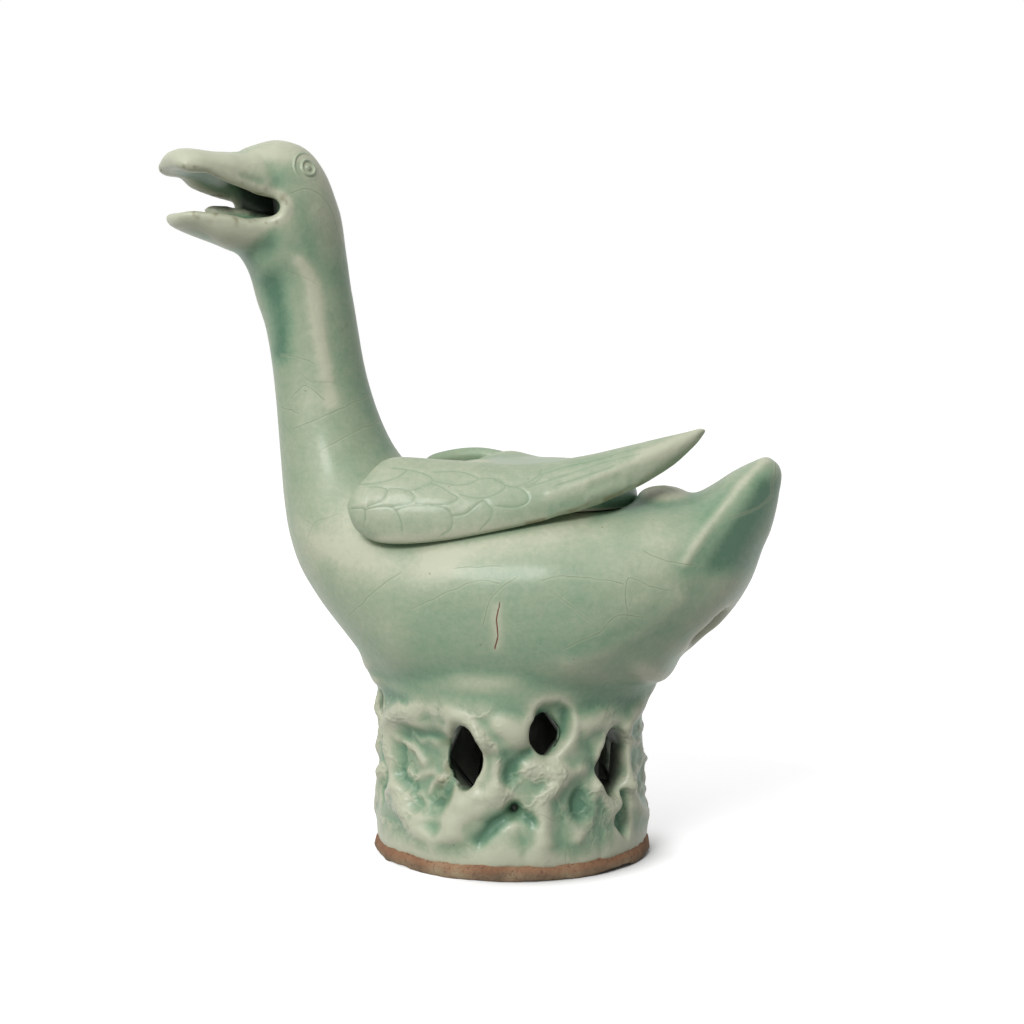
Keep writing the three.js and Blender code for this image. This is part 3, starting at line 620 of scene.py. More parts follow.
def gape_outline():
    """Side view of the open mouth: a half circle at the corner, and a parabola from each end of it
    out to the bills' tips."""
    cx, cz = GAPE_CORNER
    t = np.linspace(0, 1, 20)[:, None]

    def bend(a, b, c):
        return (1 - t) ** 2 * a + 2 * t * (1 - t) * b + t**2 * c

    low_tip, high_tip = np.array([GAPE_TIP, 189.0]), np.array([GAPE_TIP, 200.2])
    low = bend(low_tip, np.array([cx - 14, cz - GAPE_RADIUS - 0.4]),
               np.array([cx, cz - GAPE_RADIUS]))
    arc = np.linspace(-np.pi / 2, np.pi / 2, 24)[1:-1, None]
    corner = np.array([cx, cz]) + GAPE_RADIUS * np.hstack([np.cos(arc), np.sin(arc)])
    high = bend(np.array([cx, cz + GAPE_RADIUS]), np.array([cx - 12, cz + GAPE_RADIUS + 2.6]),
                high_tip + np.array([4, 0]))
    ends = np.array([[-50, 200.2], [-50, 188.0]])
    return np.vstack([low, corner, high, ends])


def gape_shift(x, y):
    """How far forward the mouth's corner lies on the bird's right: the skew, faded in across the
    head and from the bills' tips to the corner."""
    corner = GAPE_CORNER[0] - GAPE_RADIUS
    return GAPE_SKEW * smoothstep(-2, 10, y) * smoothstep(GAPE_TIP, corner, x)


def extrude_side(name, outline, half):
    """The side outline carried across the head, and moved forward by the shift on the way."""
    x, z = outline.T
    grid = np.stack([
        np.stack([x - gape_shift(x, y), np.full(len(x), y), z], -1)
        for y in np.linspace(-half, half, 17)])
    return loft(name, turn_head(grid))


cx, cz = GAPE_CORNER
neck_bore = NECK_RADIUS - WALL
tools = [
    loft("cavity", bird_rings(np.linspace(CAVITY_STARTS, len(BIRD) - 1, 120), -WALL, 90)),
    seat_tool("opening", DRILL_LOW),
    seat_tool("land", SEAT_HEIGHT, LAND_WIDTH, LAND_WIDTH + LAND_OPEN),
    extrude_side("gape", gape_outline(), 22),
    loft("throat", turn_head(tube_rings([
        (0, 0, NECK_TOP - 8, neck_bore - 0.3),
        (-0.5, 0, NECK_TOP + 6, neck_bore - 0.6),
        (-3, 0, NECK_TOP + 13, 7.6),
        (cx + 2.4, 0, cz + 0.6, 6.2),
        (cx - 10, 0, cz + 2.2, 6.2)], 64, 60))),
]


def bill_hollow(name, rows, dome, roll):
    """Inside of a bill's rim: the bill's rows, narrower by the rim and as deep as the palate."""
    kept = [row for row in rows if row[3] > BILL_RIM * 1.8]
    inner = []
    for x, top, under, width in kept:
        face = under if dome < 0 else top
        inner.append((x + BILL_RIM, face + PALATE_DEPTH, face - PALATE_DEPTH, width - BILL_RIM))
    grid = bill_rings(inner, np.linspace(0, len(inner) - 1, 40), dome, 48)
    return loft(name, turn_head(roll_bill(grid) if roll else grid))


def vent_tool():
    """An oval drill, square to the rump: half-axes across and along, turned down and sideways."""
    angle = ring_angles(48)[None, :]
    depth = np.array([-12.5, 0, 12.5])[:, None]
    c, s = math.cos(VENT_PITCH), math.sin(VENT_PITCH)
    across = VENT_HALF[0] * np.cos(angle) + 0 * depth
    along = VENT_HALF[1] * np.sin(angle) + 0 * depth
    out = depth + 0 * angle
    x = c * out + s * along
    z = -s * out + c * along
    tc, ts = math.cos(-VENT_TURN), math.sin(-VENT_TURN)
    return loft("vent", np.stack([
        VENT_CENTRE[0] + tc * x - ts * across,
        VENT_CENTRE[1] + ts * x + tc * across,
        VENT_CENTRE[2] + z], -1))


tools.append(vent_tool())
combine(upper_bill, [bill_hollow("palate", UPPER_BILL, -BILL_DOME, True)], "DIFFERENCE")
combine(lower_bill, [bill_hollow("trough", LOWER_BILL, BILL_DOME, False)], "DIFFERENCE")
print("tools ready:", [tool.name for tool in tools])

# %% [markdown]
# The tongue lies in the lower bill, and a small mound behind the opening keeps the lid from
# sliding on to the tail. The land's front lies over the flue, so a pad of clay, the sill, closes
# the roof under it. All three are luted on, so they are joined before the skin is remeshed.

# %% Tongue, mound and sill
# length, half-width, thickness, rise
TONGUE = (17, 4.6, 5, 2.6)


def tongue_rings(count=40):
    """Rings along the tongue: an oval whose size falls as the square root of 1 - share^4."""
    length, width, thick, lift = TONGUE
    share = np.linspace(0, 1, 24)[:, None]
    swell = np.sqrt(np.maximum(0.1, 1 - share**4))
    angle = ring_angles(count)[None, :]
    return np.stack([
        cx - length * share + 0 * angle,
        width * swell * np.cos(angle),
        LOWER_BILL[2][1] + lift * share + thick / 2 * swell * np.sin(angle)], -1)


tongue = loft("tongue_clay", turn_head(tongue_rings()))
behind = SEAT_MIDDLE + MOUTH_LENGTH + LAND_WIDTH
mound = ellipsoid("mound_clay", (behind + 7.6, -3, SEAT_HEIGHT + 2.2), (8.6, 10.5, 4.6))
combine(mound, [seat_tool("lid_clear", DRILL_LOW, LAND_WIDTH, LAND_WIDTH)], "DIFFERENCE")
sill = ellipsoid("sill_clay", (-25.5, 0, 101.8), (7.5, 15, 4.5))
combine(sill, [
    seat_tool("sill_opening", DRILL_LOW),
    seat_tool("sill_land", SEAT_HEIGHT, LAND_WIDTH, LAND_WIDTH + LAND_OPEN)], "DIFFERENCE")
print("tongue, mound and sill modelled")

# %% [markdown]
# ## One skin
# The joins of the real bird vanished under the glaze, so the pieces become one body here. The
# order matters: the outside is joined first, then hollowed, and a voxel remesh gives one even net
# of small faces that later steps can smooth and press.

# %% Join, hollow and remesh
VOXEL = 0.00074

outside = combine(bird, [head, upper_bill, lower_bill, mound], "UNION")
plain = bpy.data.objects.new("plain_outside", outside.data.copy())
bpy.context.scene.collection.objects.link(plain)
combine(outside, [drum], "UNION")
combine(outside, tools, "DIFFERENCE")
combine(outside, [tongue, sill], "UNION")
remesh = outside.modifiers.new("even_net", "REMESH")
remesh.mode = "VOXEL"
remesh.voxel_size = VOXEL
skin = baked(outside)
skin.name = "censer_skin"
print("skin:", len(skin.data.vertices), "points after the remesh")


# %% [markdown]
# Smoothing on arrays: each point moves part of the way to the middle of its neighbours. Done a few
# times it takes off the steps of the voxels, and done often it melts a join into a soft fillet. The
# way from a point to its smoothed place also tells hollows from ridges, which the glaze needs.


# %% Relax a mesh
def net_of(mesh):
    """Points in millimetres from the pedestal's axis, edges and point normals of a mesh."""
    points = np.empty(len(mesh.vertices) * 3)
    mesh.vertices.foreach_get("co", points)
    edges = np.empty(len(mesh.edges) * 2, int)
    mesh.edges.foreach_get("vertices", edges)
    normals = np.empty(len(mesh.vertices) * 3)
    mesh.vertex_normals.foreach_get("vector", normals)
    p = (points.reshape(-1, 3) - np.array([AXIS_X, 0, 0])) / MM
    return p, edges.reshape(-1, 2), normals.reshape(-1, 3)


def relax(points, edges, rounds, weight=0.5):
    """Each round: point += weight * (mean of its neighbours - point)."""
    count = len(points)
    ends = np.concatenate([edges[:, 0], edges[:, 1]])
    other = np.concatenate([edges[:, 1], edges[:, 0]])
    number = np.maximum(np.bincount(ends, minlength=count), 1)[:, None]
    weight = np.broadcast_to(np.asarray(weight, float).reshape(-1, 1), (count, 1))
    for _ in range(rounds):
        sums = [np.bincount(ends, points[other, k], count) for k in range(points.shape[1])]
        points = points + weight * (np.stack(sums, -1) / number - points)
    return points


def hollowness(p, edges, normals, rounds):
    """How far relaxing moves each point outwards: plus in a hollow and minus on a ridge."""
    return ((relax(p, edges, rounds) - p) * normals).sum(1)


def put_back(mesh, p):
    """Gives the mesh its points, in millimetres."""
    mesh.vertices.foreach_set("co", to_metres(p).ravel())
    mesh.update()


def store(mesh, **values):
    """Keeps one number of each name for each point, for the material to read."""
    for name, numbers in values.items():
        layer = mesh.attributes.new(name, "FLOAT", "POINT")
        layer.data.foreach_set("value", np.asarray(numbers, np.float32))


def triangle_count(mesh):
    """A face of n corners counts as n - 2 triangles."""
    return sum(len(face.vertices) - 2 for face in mesh.polygons)


# %% [markdown]
# Only the outside is modelled finely. A small Geometry Nodes tree measures how far each point
# lies from the plain outside, which tells the inner walls from the rest. They take no relief, they
# are painted near black as shade, and their net is thinned.


# %% Mark the inside
def distance_to(piece, target):
    """Millimetres from each point of the piece to the nearest face of the target."""
    group = bpy.data.node_groups.new("distance", "GeometryNodeTree")
    for way in ("INPUT", "OUTPUT"):
        group.interface.new_socket("Geometry", in_out=way, socket_type="NodeSocketGeometry")
    start = group.nodes.new("NodeGroupInput")
    surface = group.nodes.new("GeometryNodeObjectInfo")
    surface.inputs["Object"].default_value = target
    nearest = group.nodes.new("GeometryNodeProximity")
    keep = group.nodes.new("GeometryNodeStoreNamedAttribute")
    keep.inputs["Name"].default_value = "away"
    end = group.nodes.new("NodeGroupOutput")
    group.links.new(surface.outputs["Geometry"], nearest.inputs[0])
    group.links.new(start.outputs[0], keep.inputs["Geometry"])
    group.links.new(nearest.outputs["Distance"], keep.inputs["Value"])
    group.links.new(keep.outputs["Geometry"], end.inputs[0])
    step = piece.modifiers.new("distance", "NODES")
    step.node_group = group
    bpy.context.view_layer.update()
    baked(piece)
    away = np.empty(len(piece.data.vertices))
    piece.data.attributes["away"].data.foreach_get("value", away)
    piece.data.attributes.remove(piece.data.attributes["away"])
    bpy.data.node_groups.remove(group)
    return away / MM


def beak_place(p):
    """Bird frame back to the head's frame: move off the neck's axis, then turn back."""
    c, s = math.cos(HEAD_TURN), math.sin(HEAD_TURN)
    x, y = p[:, 0] - NECK_AXIS, p[:, 1]
    return np.stack([c * x + s * y, c * y - s * x, p[:, 2]], -1)


# Millimetres under the plain outside: outer skin up to the first, inside from the second
INNER_DEPTH = (1.3, 3.6)
# From the head's axis to where the bills' open insides count as outside
BEAK_REACH = (25, 32)
HEAD_BASE = 175

plain_drum = loft("plain_drum", rock_rings(np.linspace(FOOT_HEIGHT - 1, ROCK_TOP, 40), 0, 120))
combine(plain, [plain_drum], "UNION")
p, _, _ = net_of(skin.data)
x, y, z = p.T
inner = smoothstep(*INNER_DEPTH, distance_to(skin, plain))
bpy.data.objects.remove(plain)
in_beak = smoothstep(*BEAK_REACH, -beak_place(p)[:, 0]) * (z > HEAD_BASE)
on_seat = bell(z, SEAT_HEIGHT, 1.6, 4)
on_lug = (x > behind - 2) & (x < behind + 20) & (np.abs(y) < 14) & (z > SEAT_HEIGHT + 0.8)
inner = inner * (1 - in_beak) * (1 - on_seat) * ~on_lug
print("inner points:", int((inner > 0.5).sum()), "of", len(inner))


# %% [markdown]
# The relief of the rock was modelled with the fingers and a loop tool. Each stroke here is such a
# movement: a height, a half-width and the places that it runs through, as degrees round the
# drum and a height. A ridge is a positive stroke and a furrow a negative one. The strokes of the
# side that faces the camera come back twice, a third of a turn further each time.

# %% Strokes of the rock
ROCK_STROKES = [
    (2.0, 2.9, [(214, 34), (216, 41), (227, 46), (243, 48.5), (256, 47.5), (265, 43.5), (270, 39)]),
    (2.2, 6.5, [(258, 52), (268, 49), (276, 46), (281, 42)]),
    (2.2, 4.0, [(256, 14.5), (261, 18), (268, 22.4), (275, 24.5)]),
    (0.9, 2.5, [(247, 9), (252, 11), (259, 12)]),
    (1.5, 3.0, [(303, 31), (301, 28.7), (296, 23.2), (294, 14.7), (295, 9)]),
    (1.2, 2.6, [(322, 36), (316, 32.3), (306, 29.1), (300, 26)]),
    (1.3, 2.4, [(270, 41), (275, 36), (278, 27)]),
    (1.0, 2.2, [(283, 34), (291, 31.4), (300, 31.1)]),
    (1.4, 3.0, [(320, 24.4), (316, 16.1), (310, 11.4)]),
    (1.1, 3.2, [(313, 43.6), (321, 44.7)]),
    (1.2, 2.2, [(322, 26), (330, 20), (338, 21.5), (346, 25)]),
    (1.0, 1.2, [(222, 36.5), (227, 34.5), (232, 34.5), (238, 31)]),
    (0.9, 1.2, [(226, 28.2), (231, 26.4), (237, 27.6), (243, 28.4), (248, 27)]),
    (0.8, 1.1, [(240, 22.4), (243, 25.4), (250, 26.7)]),
    (0.8, 1.1, [(230, 20), (235, 21.5), (241, 18.5), (247, 19)]),
    (0.7, 1.0, [(246, 37), (241, 38.5), (236, 37.2), (231, 39)]),
    (1.3, 2.6, [(216, 30), (220, 24), (226, 18.5), (232, 14), (243, 11.5)]),
    (-1.9, 2.3, [(283, 20), (275, 16), (268, 10.5)]),
    (-1.4, 2.0, [(283, 20), (291, 17)]),
    (-1.6, 2.2, [(288, 36.5), (282, 32.5), (280, 29)]),
    (-1.1, 2.8, [(304, 51), (320, 51), (341, 50)]),
    (-1.6, 4.5, [(2, 46), (12, 48), (22, 46)]),
    (-1.2, 2.2, [(203, 55), (218, 52), (232, 49.5)]),
    (-1.5, 2.2, [(197, 33), (206, 28), (212, 23)]),
]


def along_wall(angle, degrees):
    """Millimetres round the drum's wall from a direction, the shorter way."""
    turn = angle - math.radians(degrees)
    return ROCK_LENGTH * np.arctan2(np.sin(turn), np.cos(turn))


def stroke_share(angle, z, places, half_width):
    """Bell of the distance to a bent line, measured on the wall in millimetres."""
    nearest = np.full(len(z), np.inf)
    for (d0, z0), (d1, z1) in zip(places[:-1], places[1:]):
        x, y = along_wall(angle, d0), z - z0
        step = np.array([ROCK_LENGTH * math.radians(d1 - d0), z1 - z0])
        along = np.clip((x * step[0] + y * step[1]) / (step @ step), 0, 1)
        nearest = np.minimum(nearest, np.hypot(x - along * step[0], y - along * step[1]))
    return bell(nearest, 0, half_width)


def outline_share(angle, z, degrees, height, outline, scale):
    """Distance from an outline's middle as a share of its radius that way: 1 on the outline."""
    x, y = along_wall(angle, degrees), z - height
    return np.hypot(x, y) / (outline_reach(outline, np.arctan2(y, x)) * scale)


def rock_relief(p):
    """Millimetres outwards: lumps of clay parted by creases, where a noise changes sign, + strokes
    + lips round the holes - hollows, faded towards the foot."""
    angle = np.arctan2(p[:, 1], p[:, 0])
    z = p[:, 2]
    drift = np.stack([noise(p + 11, 8), noise(p + 53, 8)], -1)
    bent_angle, bent_z = angle + drift[:, 0] * 0.022, z + drift[:, 1] * 0.9
    wavy = p + 2.2 * np.stack([noise(p + 31, 9), noise(p + 67, 9), noise(p + 91, 9)], -1)
    lumps = np.abs(noise(wavy + 5, 12)) ** 0.8
    knobs = np.abs(noise(wavy + 47, 6.5)) ** 0.8
    sides = 1 - 0.65 * smoothstep(0.86, 0.98, np.abs(np.cos(angle)))
    relief = (1.3 * lumps + 0.6 * knobs - 0.7) * sides + 0.1 * noise(p + 40, 3)
    for turn in (0, 120, 240):
        for height, half_width, places in ROCK_STROKES:
            moved = [(degrees + turn, level) for degrees, level in places]
            relief += height * stroke_share(bent_angle, bent_z, moved, half_width)
    flat = np.ones(len(z))
    for degrees, height, outline, scale, depth in ROCK_HOLLOWS:
        share = outline_share(bent_angle, bent_z, degrees, height, outline, scale)
        dent = 1 - smoothstep(0.7 if depth > 2.5 else 0.2, 1.04, share)
        relief = relief - depth * dent
        flat = flat * (1 - dent)
    for degrees, height, outline, scale, lip in ROCK_HOLES:
        share = outline_share(bent_angle, bent_z, degrees, height, outline, scale)
        relief += lip * flat * bell(share, 1.3, 0.22)
    return relief * (0.2 + 0.8 * smoothstep(FOOT_HEIGHT, FOOT_HEIGHT + 6, z))


# %% [markdown]
# Now the skin is pressed. First it is relaxed: a little all over, and more where the body meets
# the rock, where the tail starts and at the nape. Then the rock's relief moves its points
# outwards, and soft dents and the forms of the tail and the head move the rest along its normals.

# %% Press the skin
ROCK_JOIN = 53
TAIL_ROOT = (45, 107)
NAPE = 167
THROAT = 164
# Ridges and furrows of the tail and the neck in side view: amount, half-width, places
BODY_FORM = [
    (0.6, 1.6, [(74.8, 117.5), (68.8, 111), (63.8, 104), (59.2, 97.2), (55.6, 91)]),
    (-0.7, 4.0, [(76, 109), (70, 100), (64, 90), (60, 83)]),
    (0.3, 2.2, [(-60.3, 174.6), (-57.6, 169.4), (-56.2, 161.5), (-54.8, 152.7), (-53.1, 141.6)]),
    (0.35, 2.5, [(24, 63), (34, 66), (45, 72), (54, 81)]),
    (1.3, 5.0, [(44, 60), (51, 65)]),
    (1.5, 7.0, [(59, 73), (66, 84)]),
    (2.0, 3.5, [(-36, 53), (-38.5, 57)]),
    (3.2, 4.8, [(41, 50), (44.5, 57)]),
    (0.6, 4.0, [(80, 116), (80, 106), (77, 97)]),
    (1.7, 4.5, [(-80, 181.5), (-75, 178.5), (-71, 174)]),
]
# The same on the head, in its own frame
HEAD_FORM = [(1.5, 4.5, [(-24, 204), (-18.5, 206.5)]), (-0.8, 6.0, [(8, 204), (12, 197)]),
             (-1.0, 2.2, [(-42, 200.5), (-41, 199.8)])]

p, edges, normals = net_of(skin.data)
x, y, z = p.T
outer = 1 - inner
radius = np.hypot(x / ROCK_LENGTH, y / ROCK_WIDTH)
on_rock = outer * (1 - smoothstep(43, 54, z)) * smoothstep(0.86, 0.93, radius)
join = bell(z, ROCK_JOIN, 6) * outer
root = bell(z, TAIL_ROOT[1], 4) * bell(x, TAIL_ROOT[0], 9) * outer
nape = bell(z, NAPE, 8) * outer
weight = np.clip(0.2 + 0.5 * join + 0.3 * root + 0.4 * nape, 0, 0.6)
p = relax(p, edges, 5, 0.5)
p = relax(p, edges, 30, weight * outer)
local = np.flatnonzero((p[:, 2] > 143) & (p[:, 2] < 184) & (outer > 0.5))
number = np.full(len(p), -1)
number[local] = np.arange(len(local))
inside = number[edges]
throat = bell(p[local, 2], THROAT, 7)
p[local] = relax(p[local], inside[(inside >= 0).all(1)], 90, 0.6 * throat)
p[local] += normals[local] * (0.45 * throat)[:, None]
radial = np.stack([p[:, 0], p[:, 1], np.zeros(len(p))], -1)
radial /= np.linalg.norm(radial, axis=1, keepdims=True) + 1e-9
p = p + radial * (rock_relief(p) * on_rock)[:, None]
b = beak_place(p)
dents = 0.28 * noise(p, 26) + 0.08 * noise(p, 9) - 0.1 + painted(p[:, 0], p[:, 2], BODY_FORM)
dents = dents + painted(b[:, 0], b[:, 2], HEAD_FORM) * (p[:, 2] > 180)
p = p + normals * (dents * outer * (1 - on_rock))[:, None]
put_back(skin.data, p)
print("skin pressed; lowest point", round(float(p[:, 2].min()), 2), "mm")

# %% [markdown]
# A thick bead runs round the mouth's edge, where the two bills were cut apart and smoothed with a
# wet finger, and a groove follows it on the upper bill. Both follow one line, drawn in the head's
# frame. On the bird's right the line is moved forward with the mouth's corner.

# %% Lip
LIP = [
    (-41.8, 202.8), (-37.6, 200.9), (-32.2, 199.1), (-25.3, 196.8), (-18.1, 194.9), (-12.5, 193.6),
    (-9.3, 191.0), (-11.0, 187.5), (-16.0, 185.5), (-22.8, 186.5), (-30.1, 187.8), (-36.7, 188.4),
    (-39.1, 188.3)]
LIP_GROOVE = [(-36.5, 203.6), (-35.1, 202.7), (-28.6, 201.1), (-22.2, 199.0), (-17.0, 197.6)]

p, edges, normals = net_of(skin.data)
b = beak_place(p)
on_head = smoothstep(172, 178, p[:, 2]) * outer
lip_along = b[:, 0] + gape_shift(b[:, 0], b[:, 1])
from_lip, _ = line_distance(lip_along, b[:, 2], LIP)
from_groove, _ = line_distance(lip_along, b[:, 2], LIP_GROOVE)
cheek = smoothstep(5, 9, np.abs(b[:, 1]))
bead = 0.5 * bell(from_lip, 0, 1.5) - 0.3 * bell(from_groove, 0, 1.2)
p = p + normals * (bead * cheek * on_head)[:, None]
put_back(skin.data, p)
print("lip drawn; points within 1 mm:", int((from_lip < 1).sum()))

# %% [markdown]
# The glaze stops above the foot in a wavy line, where it was wiped off before firing. The lowest
# ring of the skin is drawn down or up to that line.


# %% Edge of the glaze
def glaze_line(angle):
    """Height of the glaze's edge round the foot: a mean + a wave of three crests + fine noise."""
    place = np.stack([40 * np.cos(angle), 40 * np.sin(angle), 0 * angle], -1)
    return 2.9 + 0.35 * np.cos(3 * (angle - 2.6)) + 0.45 * noise(place, 8) + 0.3 * noise(place, 2.5)


p, edges, normals = net_of(skin.data)
low = 1 - smoothstep(FOOT_HEIGHT, FOOT_HEIGHT + 3.5, p[:, 2])
angle = np.arctan2(p[:, 1], p[:, 0])
p[:, 2] += low * (glaze_line(angle) - FOOT_HEIGHT) * outer
p = relax(p, edges, 1, 0.3)
put_back(skin.data, p)

# %% [markdown]
# Glaze leaves the ridges and fills the hollows, fine ones and broad ones, so both are measured.

# %% Hollows and ridges, kept for the glaze
p, edges, normals = net_of(skin.data)
fine = hollowness(p, edges, normals, 16)
broad = hollowness(p, edges, normals, 110)
pool = 0.5 + (1.2 - 0.35 * on_rock) * fine + (0.42 - 0.12 * on_rock) * broad
print("pool from", round(float(pool.min()), 2), "to", round(float(pool.max()), 2))

# %% [markdown]
# The glaze was brushed on, and it ran and thinned as it melted. Its streaks and pale patches are
# strokes too: an amount, plus for greener and minus for creamier, a half-width in millimetres, and
# the places the stroke runs through. On the body they are measured in side view, and on the head
# in the head's frame. The side that the photograph doesn't show gets them fainter and bent.
# A few of the body's strokes are painted shade: the dark line under the near wing's lower edge and
# the gap under the wing's rear, and in part the greener right side of the tail and the band down
# the back of the neck.

# %% Strokes of glaze, and of painted shade
BODY_STROKES = [
    (0.62, 4.4, [(-71.5, 174.6), (-69.4, 167.3), (-67.2, 157.7), (-67.3, 148.8)]),
    (0.62, 3.0, [(-76.9, 180), (-74, 178.9), (-70.1, 178)]),
    (-0.34, 2.0, [(-65.4, 181.8), (-60.3, 174.6), (-57.6, 169.4), (-56.2, 161.5), (-54.8, 152.7),
                  (-53.1, 141.6), (-51.4, 133.7)]),
    (0.12, 3.0, [(-54.2, 174.6), (-52.8, 163.5), (-51.3, 154.7), (-49.3, 144.4), (-47.5, 135.7)]),
    (-0.1, 1.6, [(-52.8, 183.5), (-51.1, 170.9), (-49, 157.7), (-46.2, 144.3), (-44.2, 137.8)]),
    # Partly painted shade: a dark band down the back of the neck, over green glaze.
    (0.35, 2.0, [(-51.8, 179.8), (-50.3, 167.4), (-47.8, 154.7), (-45, 141.3), (-42.2, 132.3),
                 (-37.1, 120.3)]),
    (-0.15, 2.5, [(-43.2, 105.9), (-41.3, 99.2), (-33.3, 92.7)]),
    (-0.12, 2.5, [(-58.8, 97.4), (-46.4, 92.8), (-41.8, 90.4)]),
    (-0.22, 6.0, [(-44.9, 94.9), (-35.2, 89.9), (-23.4, 87.3), (-12.1, 89.1)]),
    (-0.26, 5.0, [(-15.6, 92.4), (-1.3, 94.6), (15, 98.3), (30.8, 101.3)]),
    (0.12, 12.0, [(-14.5, 80), (9.9, 79.4), (33.8, 78.4)]),
    (0.18, 7.0, [(-27.7, 63.1), (-11.8, 65.9), (6, 65.2), (23.6, 67)]),
    (-0.1, 4.0, [(-31.2, 70.3), (-23.5, 65.1)]),
    (0.14, 6.0, [(30.2, 65.5), (43.4, 69.2), (54.2, 78.5)]),
    (-0.12, 2.0, [(25.8, 61.5), (36.5, 64.1), (47.1, 68.8)]),
    (-0.35, 1.8, [(5.1, 78.5), (4.9, 75.2), (5.1, 71.8), (4.5, 68.1)]),
    (-0.25, 4.0, [(-4.8, 57.6), (8, 58)]),
    # Mostly painted shade, over some green glaze: the tail's right side, turned from the light, is
    # painted greener.
    (0.36, 3.5, [(76, 117), (70, 110), (65, 103), (60.5, 96), (57, 90)]),
    (0.55, 5.5, [(77, 112), (72, 101), (67, 90)]),
    (0.2, 2.0, [(70, 100), (66, 94), (62, 88)]),
    (0.1, 4.0, [(79, 115), (75.3, 110.4)]),
    (-0.12, 4.0, [(52.1, 106), (45.2, 99.5)]),
    # Painted shadow: a dark line on the body under the near wing's lower edge.
    (0.35, 1.6, [(-36, 97.5), (-28, 95.3), (-12, 96.4), (6, 99.8), (23, 104), (31, 105)]),
    (0.25, 2.5, [(36.8, 105.2), (46.7, 105.3), (51.1, 104.9)]),
    (-0.5, 3.2, [(42.4, 109.4), (51, 108.5)]),
    # Painted shade, over a deep green pool: the gap under the wing's rear, behind the lid.
    (0.5, 2.3, [(29.8, 103.5), (34, 105.5), (39, 107)]),
]
HEAD_STROKES = [
    (0.3, 4.0, [(-22.1, 199.6), (-18.6, 198), (-14.6, 196.1), (-11, 197.6), (-7.3, 200.6)]),
    (0.2, 3.0, [(-5.5, 191), (-3.8, 183.8), (-1.9, 174.6)]),
    (0.2, 2.0, [(-16, 181.5), (-10, 180.5), (-7, 178)]),
    (-0.32, 5.0, [(-14.9, 207.2), (-9.9, 209.4), (-2.2, 208.7)]),
    (-0.5, 4.0, [(-37, 206), (-31, 206.5), (-26, 204.5)]),
    (0.16, 1.2, [(-36.5, 203.6), (-35.1, 202.7), (-28.6, 201.1), (-22.2, 199.0)]),
    (-0.5, 3.0, [(-37, 187), (-30, 185), (-22, 183)]),
    (-0.5, 1.5, LIP),
]
# The same on the rock, by degrees and height
ROCK_PAINT = [
    (-0.3, 4.0, [(256, 14.5), (261, 18), (268, 22.4), (275, 24.5)]),
    (-0.3, 3.0, [(214, 36), (218, 43), (227, 47), (243, 49.5), (256, 48.5), (266, 44), (272, 39)]),
    (-0.12, 5.0, [(262, 52), (270, 50), (277, 46)]),
    (-0.25, 3.2, [(303, 31), (299, 26), (294, 19), (294, 12), (293, 8)]),
    (-0.2, 2.5, [(288, 31), (298, 32), (308, 35)]),
    (0.3, 3.0, [(279, 36), (282, 33), (278, 29)]),
    (-0.25, 4.5, [(224, 38), (232, 32), (236, 24)]),
    (0.35, 3.2, [(276, 18), (284, 19.5), (290, 17.5)]),
    (0.3, 2.2, [(276, 16), (271, 12)]),
    (0.6, 3.4, [(312, 20.5), (317, 19)]),
    (0.2, 3.0, [(300, 10), (312, 8), (325, 10)]),
    (0.25, 3.0, [(306, 51), (322, 51), (338, 50)]),
    (0.3, 2.0, [(330, 41), (340, 42), (345, 38)]),
]
near = smoothstep(4, -4, p[:, 1])
share = (near + 0.75 * (1 - near)) * outer
bend = (0.7 + 3.0 * (1 - near))[:, None] * np.stack([noise(p + 70, 16), noise(p + 15, 16)], -1)
body_paint = painted(p[:, 0] + bend[:, 0], p[:, 2] + bend[:, 1], BODY_STROKES)
head_paint = painted(lip_along + 0.4 * bend[:, 0], b[:, 2] + 0.4 * bend[:, 1], HEAD_STROKES)
on_wall = np.degrees(np.arctan2(p[:, 1], p[:, 0])) % 360 * math.radians(ROCK_LENGTH)
rock_paint = painted(on_wall, p[:, 2], [
    (amount, half_width, [(degrees * math.radians(ROCK_LENGTH), z) for degrees, z in places])
    for amount, half_width, places in ROCK_PAINT])
print("strokes painted:", len(BODY_STROKES) + len(HEAD_STROKES) + len(ROCK_PAINT))

# %% [markdown]
# The vent's rim shows as a pale ring, because glaze runs off a sharp edge. Iron in the clay stains
# a few thin places olive: the lip, the mound behind the lid and the cave in the rock.
# Inside the vent the glaze is made greener, partly pooled glaze and partly painted shade.


# %% Vent rim, iron stains and painted shade
def vent_share(p):
    """Distance from the vent's axis as a share of its oval, the drill's own turns taken back."""
    q = p - np.array(VENT_CENTRE)
    tc, ts = math.cos(-VENT_TURN), math.sin(-VENT_TURN)
    c, s = math.cos(VENT_PITCH), math.sin(VENT_PITCH)
    x, across = tc * q[:, 0] + ts * q[:, 1], tc * q[:, 1] - ts * q[:, 0]
    out, along = c * x - s * q[:, 2], s * x + c * q[:, 2]
    return np.hypot(across / VENT_HALF[0], along / VENT_HALF[1]) + 9 * (out < -8)


from_vent = vent_share(p)
rim = bell(from_vent, 1.16, 0.12) * outer
in_vent = smoothstep(1.06, 0.94, from_vent) * outer
head_share = on_head * cheek
paint = (body_paint * (1 - on_rock) * (1 - 0.6 * head_share) + head_paint * head_share
         + rock_paint * on_rock)
# Partly painted shade: the vent's inside is made greener.
pool = pool + paint * share - 0.5 * rim + 0.5 * in_vent
pool = relax(np.clip(pool, 0, 1)[:, None], edges, 2)[:, 0]

